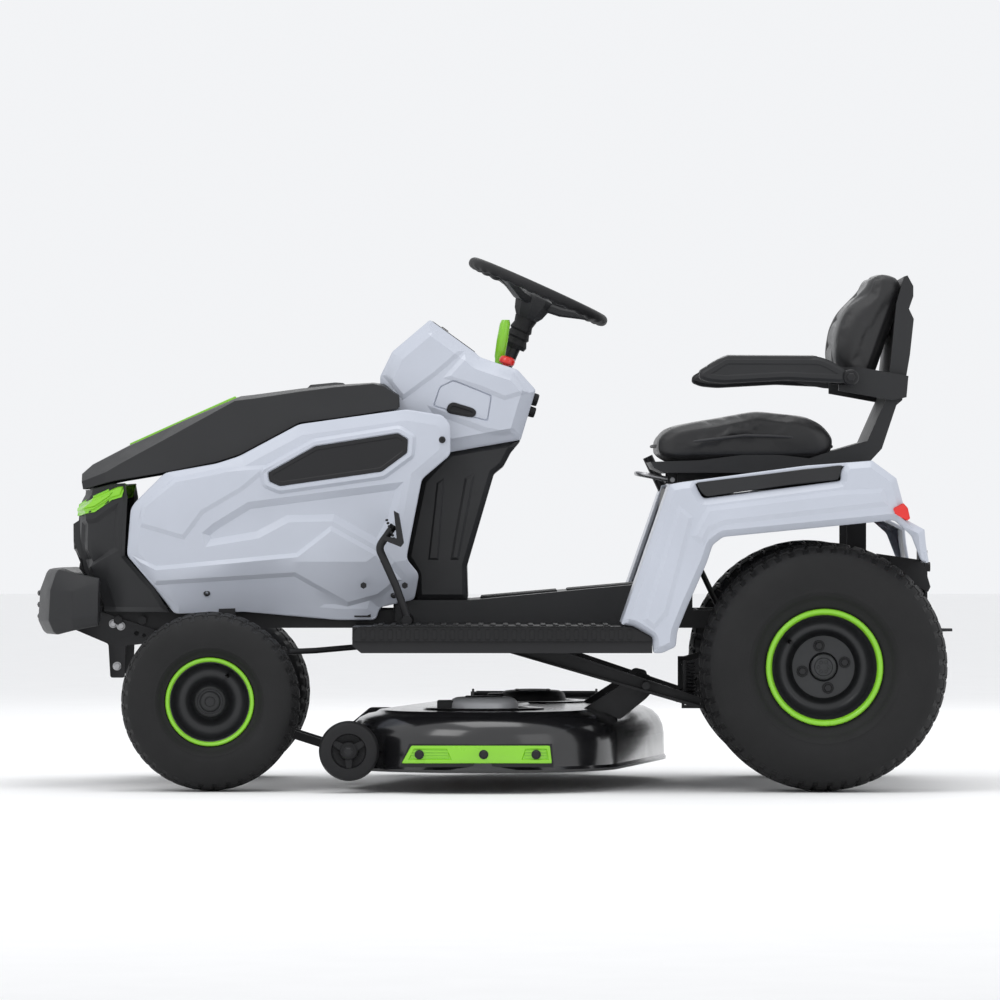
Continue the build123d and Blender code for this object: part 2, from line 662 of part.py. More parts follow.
tunnel_front_top = 386.7
pedestal_outline = [(493, 693), (634, 716), (614, 694), (598, 664), (578, 648), (522, 456), (524, 387),
    (419, 387)]
pedestal_outline = pedestal_outline[:-1] + [(352, 387), (352, 560), (432, 640)]
with BuildPart() as pedestal_core:
    core = [(500, 730), (608, 730), (608, 698), (592, 667), (573, 651), (516, 456), (518, 380), (358, 380)]
    core += [(358, 558), (438, 637)]
    slab(along(core, front_x), 5 - pedestal_half, pedestal_half - 5)
with BuildPart() as console_lower:
    slab(along(pedestal_outline, front_x), -pedestal_half, pedestal_half)
    add(pedestal_core.part, mode=Mode.SUBTRACT)
write("console_lower", console_lower)

with BuildPart() as dash_display:
    strip(along([(452, 963.2), (536, 902.3)], front_x), (3, 4), -112, 112)
write("dash_display", dash_display)

# Floor tunnel over the rails, and the running boards beside it
tunnel_outline = [(front_x + 374, 336), (front_x + 374, tunnel_front_top),
    (front_x + 531, tunnel_front_top)]
tunnel_outline += [(rear_x - 348, 422), (rear_x - 348, 336)]
with BuildPart() as floor_tunnel:
    slab(tunnel_outline, -tunnel_half, tunnel_half)
    inside = [(x, z - 6) for x, z in tunnel_outline]
    inside[0] = (front_x + 360, 300)
    inside[1] = (front_x + 360, tunnel_front_top - 6)
    inside[3] = (rear_x - 340, 417)
    inside[4] = (rear_x - 340, 300)
    slab(inside, 6 - tunnel_half, tunnel_half - 6, mode=Mode.SUBTRACT)
    block(front_x + 366, front_x + 523, -150, 150, 370, 400, mode=Mode.SUBTRACT)
    rod((brake_shaft[0], -200, brake_shaft[1]), (brake_shaft[0], -150, brake_shaft[1]), 13,
        mode=Mode.SUBTRACT)
    rod((drive_shaft[0], 150, drive_shaft[1]), (drive_shaft[0], 200, drive_shaft[1]), 13,
        mode=Mode.SUBTRACT)
write("floor_tunnel", floor_tunnel)

board_front_x = front_x + 291
board_rear_x = rear_x - 350
board_wall = 8
flange_outline = [(board_front_x, 298), (board_front_x, board_top), (board_rear_x - 39, board_top)]
flange_outline += [(board_rear_x, 316), (board_rear_x, 283), (board_front_x + 18, 283)]
with BuildPart() as running_boards:
    for side in (-1, 1):
        flange = sorted((side * board_half, side * (board_half - 6)))
        slab(flange_outline, *flange)
        deck_plate = sorted((side * (tunnel_half + 0.2), side * (board_half - 6)))
        block(board_front_x, board_rear_x - 39, *deck_plate, board_top - board_wall, board_top)
        for x_low in (board_front_x + 4, board_rear_x - 60):
            rib = sorted((side * (rail_half + 0.1), side * (board_half - 6)))
            block(x_low, x_low + 16, *rib, board_top - board_wall - 6, board_top - board_wall)
write("running_boards", running_boards)

# Fenders: outer side wall, top skin and front leg
fender_top = [(-413, 344), (-315, 625), (-291, 630), (-36, 664), (97, 674), (146, 638), (162, 578),
    (164, 555)]
fender_top += [(203, 534), (206, 502), (212, 467)]
fender_arch = [(205, 467), (141, 555), (-206, 519), (-227, 503), (-239, 467), (-278, 379), (-299, 338),
    (-387, 338)]
fender_wall = 4
cup_x = rear_x - 222
cup_y = 392
cup_radius = 40
cup_depth = 62
cup_top = 632
lever_slot = (deck_x + 311, deck_x + 713)
lever_y = 256
for name, side in (("fender_left", -1), ("fender_right", 1)):
    with BuildPart() as fender:
        wall = sorted((side * fender_outer, side * (fender_outer - fender_wall)))
        slab(along([*fender_top, *fender_arch], rear_x), *wall)
        skin = sorted((side * fender_outer, side * fender_inner))
        strip(along(fender_top[:6], rear_x), (2, -fender_wall), *skin)
        strip(along(fender_top[5:8], rear_x), (-fender_wall, -2), *skin)
        lip = sorted((side * fender_outer, side * (fender_outer - 60)))
        strip(along(fender_top[7:], rear_x), (-fender_wall, -2), *lip)
        center = (cup_x, side * cup_y)
        rod((*center, 560), (*center, 700), cup_radius + 3, mode=Mode.SUBTRACT)
        if side > 0:
            block(*lever_slot, lever_y - 13, lever_y + 13, 560, 700, mode=Mode.SUBTRACT)
    write(name, fender)

with BuildPart() as cup_holders:
    for side in (-1, 1):
        tray = sorted((side * (cup_y - 72), side * (cup_y + 66)))
        slab([(rear_x - 286, 633), (rear_x - 286, 637), (rear_x - 60, 667), (rear_x - 60, 663)], *tray)
        center = (cup_x, side * cup_y)
        rod((*center, cup_top - cup_depth), (*center, cup_top + 8), cup_radius + 2.5)
        rod((*center, cup_top - cup_depth + 3), (*center, 700), cup_radius, mode=Mode.SUBTRACT)
write("cup_holders", cup_holders)

# Seat deck between the fenders with the seat's two slide rails
seat_deck_line = [(-347, 424), (-316, deck_seat_z), (90, deck_seat_z)]
seat_rail_y = 120
with BuildPart() as seat_deck:
    strip(along(seat_deck_line, rear_x), (4, -4), seat_gap - fender_inner, fender_inner - seat_gap)
    for side in (-1, 1):
        channel = sorted((side * (seat_rail_y - 14), side * (seat_rail_y + 14)))
        block(rear_x - 290, rear_x + 60, *channel, deck_seat_z, deck_seat_z + seat_rail_height)
write("seat_deck", seat_deck)

# Rear plate with the hitch tongue
hitch_radius = 8
hitch_z = 330
hitch_wall = 6
tongue_end = rear_x + 288
with BuildPart() as rear_plate:
    plate_x = rail_rear_x
    slab([(plate_x, 322), (plate_x, 489), (plate_x + 5, 489), (plate_x + 5, 322)], -150, 150)
    for side in (-1, 1):
        wing = sorted((side * 150, side * 256))
        slab(along([(143, 480), (212, 470), (228, 415), (223, 405), (150, 440)], rear_x), *wing)
    tongue = [(plate_x - 40, -60), (plate_x - 40, 60), (plate_x + 12, 60), (tongue_end - 12, 30),
        (tongue_end, 18)]
    tongue += [(tongue_end, -18), (tongue_end - 12, -30), (plate_x + 12, -60)]
    plate(tongue, hitch_z - hitch_wall / 2 - 8, hitch_z + hitch_wall / 2 - 8)
    rod((tongue_end - 24, 0, 300), (tongue_end - 24, 0, 360), hitch_radius, mode=Mode.SUBTRACT)
write("rear_plate", rear_plate)

# Mower deck: a two-lobe pressing with a side outlet, motor seats, wheel brackets and lift ears
lobes = [(deck_x - deck_stagger / 2, -deck_half), (deck_x + deck_stagger / 2, deck_half)]
deck_top = deck_bottom + deck_height
motor_radius = 72
blade_shaft_radius = 10
gauge_radius = 61
gauge_width = 48
gauge_z = 85
gauge_axle_radius = 8
gauge_positions = [(x - 273, y + (215 if y > 0 else -215)) for x, y in lobes]
deck_pin = (arm_pivot[0] + arm_to_deck[0], arm_pivot[1] + arm_to_deck[1])
front_pin = (link_front_x + arm_to_deck[0], link_front_z + arm_to_deck[1])
outlet = (deck_x - 70, deck_x + 190)
chute_hinge = (deck_half + lobe_radius + 8, deck_top + 9)
chute_pin_radius = 5
with BuildPart() as deck_shell:
    with BuildSketch(Plane.XY.offset(deck_bottom)) as deck_plan:
        with Locations(*lobes):
            Circle(lobe_radius)
        make_hull()
    extrude(deck_plan.sketch, amount=deck_height)
    with BuildSketch(Plane.XY.offset(deck_bottom - 1)) as cavity_plan:
        with Locations(*lobes):
            Circle(lobe_radius - deck_wall)
        make_hull()
    extrude(cavity_plan.sketch, amount=deck_height - deck_wall + 1, mode=Mode.SUBTRACT)
    block(*outlet, deck_half + 60, 700, deck_bottom + 16, deck_top - 16, mode=Mode.SUBTRACT)
    for x, y in lobes:
        rod((x, y, deck_top - 20), (x, y, deck_top + 20), 30, mode=Mode.SUBTRACT)
    for x, y in gauge_positions:
        side = 1 if y > 0 else -1
        for offset_y in (-gauge_width / 2 - 9, gauge_width / 2 + 4):
            block(x - 22, x + 120, y + offset_y, y + offset_y + 5, gauge_z - 20, gauge_z + 66)
        block(x + 66, x + 120, y - gauge_width / 2 - 9, y + gauge_width / 2 + 9, gauge_z + 61, gauge_z + 66)
        reach = sorted((y - side * 80, y))
        block(x + 72, x + 120, *reach, gauge_z + 61, gauge_z + 66)
        rod((x, y - 60, gauge_z), (x, y + 60, gauge_z), gauge_axle_radius + running_gap, mode=Mode.SUBTRACT)
    for side in (-1, 1):
        ear = sorted((side * (arm_half + 22), side * (arm_half + 28)))
        block(deck_pin[0] - 60, deck_pin[0] + 22, *ear, deck_top - 2, deck_pin[1] + 24)
        foot = sorted((side * (arm_half - 10), side * (arm_half + 28)))
        block(deck_pin[0] - 60, deck_pin[0] - 40, *foot, deck_top - 1, deck_top + 4)
    rod((deck_pin[0], -330, deck_pin[1]), (deck_pin[0], 330, deck_pin[1]),
        deck_pin_radius + running_gap, mode=Mode.SUBTRACT)
    for side in (-1, 1):
        ear = sorted((side * 50, side * 56))
        block(front_pin[0] - 16, deck_x - 245, *ear, front_pin[1] - 16, front_pin[1] + 22)
    rod((front_pin[0], -80, front_pin[1]), (front_pin[0], 80, front_pin[1]),
        link_pin_radius + running_gap, mode=Mode.SUBTRACT)
    for x in (outlet[0] - 14, outlet[1] + 2):
        block(x, x + 12, deck_half + 225, chute_hinge[0] + 9, deck_top - 4, chute_hinge[1] + 9)
    rod((0, *chute_hinge), (outlet[1] + 30, *chute_hinge), chute_pin_radius + running_gap,
        mode=Mode.SUBTRACT)
    rod((outlet[0] - 30, *chute_hinge), (outlet[0] + 30, *chute_hinge), chute_pin_radius + running_gap,
        mode=Mode.SUBTRACT)
    slab([(x + lobes[0][0], z) for x, z in [(-160, 59), (-142, 99), (137, 99), (137, 59)]],
        -deck_reach_left, -deck_half - lobe_radius + 4)
    with BuildSketch(Plane.XY.offset(deck_bottom - 1)) as trim_plan:
        with Locations(*lobes):
            Circle(lobe_radius - deck_wall)
        make_hull()
    extrude(trim_plan.sketch, amount=deck_height - deck_wall + 1, mode=Mode.SUBTRACT)
write("deck_shell", deck_shell)

with BuildPart() as deck_motors:
    for x, y in lobes:
        rod((x, y, deck_top), (x, y, deck_top + 25), motor_radius)
        rod((x, y, deck_top - 22), (x, y, deck_top), 29)
        rod((x, y, deck_top - 30), (x, y, deck_top + 14), blade_shaft_radius + running_gap,
            mode=Mode.SUBTRACT)
write("deck_motors", deck_motors)

blade_z = deck_bottom + 14
for name, (x, y) in (("blade_left", lobes[0]), ("blade_right", lobes[1])):
    with BuildPart() as blade:
        block(x - blade_radius, x + blade_radius, y - 28, y + 28, blade_z, blade_z + 5)
        rod((x, y, blade_z - 8), (x, y, blade_z + 40), 20)
        rod((x, y, blade_z), (x, y, deck_top + 12), blade_shaft_radius)
    write(name, blade)

for name, (x, y) in (("gauge_wheel_left", gauge_positions[0]), ("gauge_wheel_right", gauge_positions[1])):
    with BuildPart() as gauge_wheel:
        half = gauge_width / 2
        section = [(y - half, 0.5), (y - half, gauge_radius - 12), (y - half + 10, gauge_radius)]
        section += [(y + half - 10, gauge_radius), (y + half, gauge_radius - 12), (y + half, 0.5)]
        turned(x, gauge_z, section)
        rod((x, y - half - 18, gauge_z), (x, y + half + 18, gauge_z), gauge_axle_radius)
    write(name, gauge_wheel)

with BuildPart() as discharge_chute:
    hinge_y, hinge_z = chute_hinge
    x_low, x_high = outlet[0] + 0.5, outlet[1] - 0.5
    with BuildSketch(Plane.YZ.offset(x_low)) as top_skin:
        with BuildLine():
            outline = [(hinge_y - 4, hinge_z - 8), (hinge_y - 4, hinge_z + 6), (hinge_y + 10, hinge_z + 6)]
            outline += [(chute_reach_right, 92), (chute_reach_right, 60), (chute_reach_right - 4, 60)]
            outline += [(chute_reach_right - 4, 88), (hinge_y + 8, hinge_z - 4)]
            Polyline(*outline, close=True)
        make_face()
    extrude(top_skin.sketch, amount=x_high - x_low)
    for x in (x_low, x_high - 4):
        with BuildSketch(Plane.YZ.offset(x)) as cheek:
            with BuildLine():
                points = [(hinge_y + 14, hinge_z - 2), (chute_reach_right - 2, 90),
                    (chute_reach_right - 2, 60)]
                points += [(hinge_y + 14, 66)]
                Polyline(*points, close=True)
            make_face()
        extrude(cheek.sketch, amount=4)
    rod((x_low - 12, hinge_y, hinge_z), (x_high + 12, hinge_y, hinge_z), chute_pin_radius)
write("discharge_chute", discharge_chute)

# Deck lift: swinging arms on a cross tube, front link, lift shaft with lever, and lift links
arm_slope = atan2(arm_to_end[1], arm_to_end[0])
arm_depth = 44
with BuildPart() as deck_arms:
    for side in (-1, 1):
        face = sorted((side * (arm_half - 13), side * (arm_half + 13)))
        lean = (-sin(arm_slope) * arm_depth / 2, cos(arm_slope) * arm_depth / 2)
        reach = (cos(arm_slope) * 24, sin(arm_slope) * 24)
        start = (arm_pivot[0] - reach[0], arm_pivot[1] - reach[1])
        end = (arm_end[0] + reach[0], arm_end[1] + reach[1])
        outline = [(start[0] + 0.8 * lean[0], start[1] + 0.8 * lean[1]),
            (end[0] + lean[0] / 2, end[1] + lean[1] / 2)]
        outline += [(end[0] - lean[0] / 2, end[1] - lean[1] / 2), (start[0] - lean[0], start[1] - lean[1])]
        slab(outline, *face)
        channel = sorted((side * (arm_half - 9), side * (arm_half + 14)))
        inside = [(outline[0][0] - 10, outline[0][1]), (outline[1][0] + 10, outline[1][1])]
        inside += [(outline[2][0] + 10, outline[2][1]), (outline[3][0] - 10, outline[3][1])]
        slope_in = [(x, z - 4) for x, z in inside[:2]] + [(x, z + 4) for x, z in inside[2:]]
        slab(slope_in, *channel, mode=Mode.SUBTRACT)
        pin_y = sorted((side * (arm_half - 13), side * (arm_half + 34)))
        rod((deck_pin[0], pin_y[0], deck_pin[1]), (deck_pin[0], pin_y[1], deck_pin[1]), deck_pin_radius)
        rod((arm_end[0], side * (arm_half - 12), arm_end[1]), (arm_end[0], side * (arm_half - 32),
            arm_end[1]), 7)
    rod((arm_pivot[0], -arm_half - 12, arm_pivot[1]), (arm_pivot[0], arm_half + 12, arm_pivot[1]),
        arm_pin_radius)
write("deck_arms", deck_arms)

with BuildPart() as front_link:
    for side in (-1, 1):
        bar = sorted((side * 59, side * 66))
        rise = [(link_front_x, link_front_z + 9), (front_pin[0], front_pin[1] + 9)]
        slab([*rise, (front_pin[0], front_pin[1] - 9), (link_front_x, link_front_z - 9)], *bar)
        for x, z in ((link_front_x, link_front_z), front_pin):
            rod((x, bar[0], z), (x, bar[1], z), 14)
    rod((link_front_x, -link_ear_half - 8, link_front_z), (link_front_x, link_ear_half + 8,
        link_front_z), link_pin_radius)
    rod((front_pin[0], -66, front_pin[1]), (front_pin[0], 66, front_pin[1]), link_pin_radius)
write("front_link", front_link)

crank_end = (arm_end[0], arm_end[1] + lift_link_length)
crank_y = arm_half - 30
lever_tip = (lift_axis[0] - 172, lift_axis[1] + 366)
crank_pin_radius = 6
with BuildPart() as lift_shaft:
    rod((lift_axis[0], -crank_y - 4, lift_axis[1]), (lift_axis[0], lever_y + 6, lift_axis[1]),
        lift_shaft_radius)
    for side in (-1, 1):
        face = sorted((side * (crank_y - 4), side * (crank_y + 4)))
        slope = atan2(crank_end[1] - lift_axis[1], crank_end[0] - lift_axis[0])
        lean = (-sin(slope) * 13, cos(slope) * 13)
        arm = [(lift_axis[0] + lean[0], lift_axis[1] + lean[1]),
            (crank_end[0] + lean[0], crank_end[1] + lean[1])]
        arm += [(crank_end[0] - lean[0], crank_end[1] - lean[1]),
            (lift_axis[0] - lean[0], lift_axis[1] - lean[1])]
        slab(arm, *face)
        pin_y = sorted((side * (crank_y - 22), side * (crank_y - 4)))
        rod((crank_end[0], pin_y[0], crank_end[1]), (crank_end[0], pin_y[1], crank_end[1]),
            crank_pin_radius)
    rod((lift_axis[0], lever_y, lift_axis[1]), (lever_tip[0], lever_y, lever_tip[1]), 6)
    rod((lever_tip[0] + 14, lever_y, lever_tip[1] - 30),
        (lever_tip[0] - 19, lever_y, lever_tip[1] + 40), 11)
write("lift_shaft", lift_shaft)

slot_play = 16
with BuildPart() as lift_links:
    for side in (-1, 1):
        face = sorted((side * (crank_y - 6), side * (crank_y - 14)))
        block(arm_end[0] - 15, arm_end[0] + slot_play + 14, *face, arm_end[1] - 19, arm_end[1] + 16)
        block(arm_end[0] - 12, arm_end[0] + 12, *face, arm_end[1] + 10, crank_end[1] + 14)
        slot = [(arm_end[0] - 9, arm_end[1] - 12), (arm_end[0] - 9, arm_end[1] + 10)]
        slot += [(arm_end[0] + slot_play + 8, arm_end[1] + 10),
            (arm_end[0] + slot_play + 8, arm_end[1] - 12)]
        slab(slot, *face, mode=Mode.SUBTRACT)
        rod(
            (crank_end[0], side * (crank_y - 20), crank_end[1]),
            (crank_end[0], side * crank_y, crank_end[1]),
            crank_pin_radius + running_gap,
            mode=Mode.SUBTRACT,
        )
write("lift_links", lift_links)

# Pedals
with BuildPart() as brake_pedal:
    x, z = brake_shaft
    rod((x, -132, z), (x, -336, z), pedal_shaft_radius)
    rod((x, -344, z), (x, -324, z), 10.5)
    bent_rod([(x, -334, z + 8), (x - 22, -334, z + 70), (x - 58, -334, z + 150),
        (x - 26, -334, z + 195)], 8, 20)
    pad = [(x - 47, 512), (x - 12, 498), (x - 6, 506), (x - 16, 566), (x - 26, 572), (x - 20, 515),
        (x - 44, 520)]
    slab(pad, -385, -300)
write("brake_pedal", brake_pedal)

with BuildPart() as drive_pedal:
    x, z = drive_shaft
    rod((x, 132, z), (x, 336, z), pedal_shaft_radius)
    rod((x, 324, z), (x, 344, z), 10.5)
    treadle = [(x - 95, z + 70), (x - 60, z + 50), (x + 30, z + 42), (x + 62, z + 54), (x + 60, z + 60),
        (x + 28, z + 50)]
    treadle += [(x - 57, z + 58), (x - 90, z + 77)]
    slab(treadle, 300, 372)
    rod((x, 334, z + 8), (x - 4, 334, z + 50), 7)
write("drive_pedal", drive_pedal)

# Seat: shell, cushions, armrests and slide bar
seat_base = deck_seat_z + seat_rail_height + seat_gap
pan_outline = [(-348, 673), (-341, 660), (-320, seat_base), (60, seat_base), (104, 672), (130, 700),
    (160, 790)]
pan_outline += [(172, 800), (188, 894), (196, 968), (186, 989), (195, 1015), (195, 1036), (183, 1058),
    (176, 1056)]
pan_outline += [(160, 1000), (150, 900), (140, 806), (100, 716), (10, 690), (-20, 680), (-120, 692),
    (-245, 676)]
bar_z = deck_seat_z + 18
armrest_y = (250, 302)
armrest_pivot = (rear_x + 62, 846)
armrest_pin_radius = 8
with BuildPart() as seat_shell:
    slab(along(pan_outline, rear_x), -back_half, back_half)
    for side in (-1, 1):
        ear = sorted((side * 96, side * 102))
        block(rear_x - 310, rear_x - 290, *ear, bar_z - 8, seat_base + 4)
        bracket = sorted((side * (back_half + 0.5), side * (back_half + 16)))
        slab(along([(40, 820), (40, 868), (84, 868), (184, 850), (180, 806), (150, 800)], rear_x), *bracket)
        foot = sorted((side * (back_half - 8), side * (back_half + 16)))
        block(rear_x + 152, rear_x + 178, *foot, 812, 840)
    rod((rear_x - 300, -120, bar_z), (rear_x - 300, 120, bar_z), 5 + running_gap, mode=Mode.SUBTRACT)
    for side in (-1, 1):
        hole = sorted((side * (back_half + 0.2), side * (back_half + 30)))
        rod(
            (armrest_pivot[0], hole[0], armrest_pivot[1]),
            (armrest_pivot[0], hole[1], armrest_pivot[1]),
            armrest_pin_radius + running_gap,
            mode=Mode.SUBTRACT,
        )
write("seat_shell", seat_shell)

cushion_outline = [(-349, 682), (-349, 728), (-339, 737), (-292, 745), (-249, 748), (-131, 773),
    (-26, 761), (31, 737)]
cushion_outline += [(47, 721), (30, 696.4), (9, 690.2), (-20, 680.5), (-120, 692.5), (-245, 676.5)]
with BuildPart() as seat_cushion:
    slab(along(cushion_outline, rear_x), -seat_half, seat_half)
write("seat_cushion", seat_cushion)

back_outline = [(139, 1072), (113, 1056), (108, 1035), (58, 985), (37, 942), (30, 894), (32, 871),
    (61, 824)]
back_outline += [(94, 811), (138, 807), (148, 900), (158, 1001), (172, 1056)]
with BuildPart() as back_cushion:
    slab(along(back_outline, rear_x), -back_half, back_half)
write("back_cushion", back_cushion)

arm_outline = [(-250, 843), (-250, 857), (-196, 893), (0, 889), (40, 882), (72, 864), (76, 838),
    (54, 832), (-196, 832)]
for name, side in (("armrest_left", -1), ("armrest_right", 1)):
    with BuildPart() as armrest:
        pad = sorted((side * armrest_y[0], side * armrest_y[1]))
        slab(along(arm_outline, rear_x), *pad)
        pin = sorted((side * (back_half + 1), side * (armrest_y[0] + 10)))
        rod((armrest_pivot[0], pin[0], armrest_pivot[1]), (armrest_pivot[0], pin[1], armrest_pivot[1]),
            armrest_pin_radius)
    write(name, armrest)

with BuildPart() as seat_bar:
    x = rear_x - 372
    bent_rod([(rear_x - 300, -90, bar_z), (x, -90, bar_z + 14), (x, 90, bar_z + 14),
        (rear_x - 300, 90, bar_z)], 5, 24)
    for side in (-1, 1):
        rod((rear_x - 300, side * 86, bar_z), (rear_x - 300, side * 104, bar_z), 5)
write("seat_bar", seat_bar)

# Controls on the console
with BuildPart() as blade_switch:
    seat_point = Vector(*knob_at)
    rod(tuple(seat_point - knob_axis * 14), tuple(seat_point + knob_axis * 6), knob_stem_radius)
    rod(tuple(seat_point + knob_axis * 6), tuple(seat_point + knob_axis * 22), 16)
write("blade_switch", blade_switch)

with BuildPart() as brake_lever:
    x, z = lever_foot
    y = lever_foot_y
    bent_rod([(x, y, z - 18), (x + 2, y, z + 20), (x + 16, y, z + 64)], 5, 20)
    rod((x + 16, y, z + 60), (x + 22, y, z + 92), 11)
    rod((x, y - 13, z - 18), (x, y + 13, z - 18), 6)
write("brake_lever", brake_lever)

door_outline = [(455, 789), (468, 827), (495, 840), (572, 809), (564, 760)]
door_wall = 4
door_barrel_radius = 2
with BuildPart() as charge_door:
    door_face = -console_half - door_wall - seat_gap
    slab(along(door_outline, front_x), door_face, -console_half - seat_gap)
    hinge_low, hinge_high = along([door_outline[4], door_outline[0]], front_x)
    hinge_low, hinge_high = (Vector(x, door_face, z) for x, z in (hinge_low, hinge_high))
    hinge_run = (hinge_high - hinge_low) * 0.1
    rod(tuple(hinge_low + hinge_run), tuple(hinge_high - hinge_run), door_barrel_radius)
write("charge_door", charge_door)

# Fasteners that show: panel screws, bumper bolts and fender bolts
with BuildPart() as fasteners:
    for side in (-1, 1):
        for x in (front_x - 200, front_x - 150):
            hex_bolt(x, side * (rail_half + 6), 345, (0, side, 0), 17, 8)
        for x in (front_x + 310, front_x + 395):
            hex_bolt(x, side * panel_half_rear, 418, (0, side, 0), 12, 4)
        for x in (-50, 50):
            hex_bolt(rail_rear_x + 5, side * 110, 405 + x, (1, 0, 0), 17, 8)
write("fasteners", fasteners)
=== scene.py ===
"""Looks of the battery ride-on lawn tractor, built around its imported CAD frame, in metres.

-X is the front, -Y the machine's left-hand side, +Z up. MID is the machine's middle plane,
which the discharge chute on the right sets a little off the origin.
"""

from math import atan2, cos, pi, radians, sin, sqrt

import bmesh
import bpy
import numpy as np
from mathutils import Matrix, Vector
from mathutils.geometry import delaunay_2d_cdt


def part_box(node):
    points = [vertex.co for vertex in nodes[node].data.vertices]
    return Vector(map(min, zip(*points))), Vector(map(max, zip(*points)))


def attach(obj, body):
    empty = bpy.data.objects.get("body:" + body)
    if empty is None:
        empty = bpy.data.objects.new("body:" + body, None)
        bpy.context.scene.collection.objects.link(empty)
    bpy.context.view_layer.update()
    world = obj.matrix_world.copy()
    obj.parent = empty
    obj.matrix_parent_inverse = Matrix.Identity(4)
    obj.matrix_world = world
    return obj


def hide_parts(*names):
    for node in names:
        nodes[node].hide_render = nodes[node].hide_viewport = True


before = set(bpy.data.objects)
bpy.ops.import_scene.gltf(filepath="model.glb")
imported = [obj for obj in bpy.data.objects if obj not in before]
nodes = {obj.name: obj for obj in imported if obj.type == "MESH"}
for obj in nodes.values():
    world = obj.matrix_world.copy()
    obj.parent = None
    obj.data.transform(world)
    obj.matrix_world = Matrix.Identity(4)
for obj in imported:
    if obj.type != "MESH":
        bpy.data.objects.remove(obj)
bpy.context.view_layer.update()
scene = bpy.context.scene

MM = 0.001
rail_low, rail_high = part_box("frame_rails")
MID = (rail_low.y + rail_high.y) / 2
SIDES = (("left", -1), ("right", 1))


# ---------------------------------------------------------------- stage and camera
CAMERA_X = 0.011
CAMERA_DISTANCE = 14.9
CAMERA_HEIGHT = 0.594
CAMERA_LENS = 255.9


def place_camera():
    """A long lens, level and square to the machine's left side."""
    camera = bpy.data.objects.new("camera", bpy.data.cameras.new("camera"))
    scene.collection.objects.link(camera)
    camera.data.lens = CAMERA_LENS
    camera.data.sensor_width = 36
    camera.data.clip_end = 100
    camera.location = (CAMERA_X, MID - CAMERA_DISTANCE, CAMERA_HEIGHT)
    camera.rotation_euler = (pi / 2, 0, 0)
    scene.camera = camera


def area_light(name, location, target, size, power):
    """A soft square lamp that points at a target."""
    lamp = bpy.data.objects.new(name, bpy.data.lights.new(name, "AREA"))
    scene.collection.objects.link(lamp)
    lamp.data.size = size
    lamp.data.energy = power
    lamp.location = location
    lamp.rotation_euler = (Vector(target) - Vector(location)).to_track_quat("-Z", "Y").to_euler()


def set_stage():
    """A pale floor, a pale world and soft lamps."""
    scene.view_settings.view_transform = "Standard"
    world = bpy.data.worlds.new("studio")
    scene.world = world
    world.use_nodes = True
    background = world.node_tree.nodes["Background"]
    background.inputs["Color"].default_value = (0.97, 0.98, 1, 1)
    background.inputs["Strength"].default_value = 0.92
    area_light("key", (-2.8, -4.0, 4.6), (0, 0, 0.5), 2.6, 62)
    area_light("fill", (3.6, -3.8, 2.2), (0.3, 0, 0.5), 2.6, 14)
    area_light("back", (0.8, 4.4, 3.4), (0, 0, 0.6), 3.0, 40)
    area_light("top", (0.2, -0.6, 4.6), (0, 0, 0), 2.4, 40)
    mesh = bpy.data.meshes.new("floor")
    mesh.from_pydata([(-30, -30, 0), (30, -30, 0), (30, 30, 0), (-30, 30, 0)], [], [(0, 1, 2, 3)])
    floor = bpy.data.objects.new("floor", mesh)
    scene.collection.objects.link(floor)
    floor.location.z = -0.0005
    floor.data.materials.append(MATERIALS["floor"])


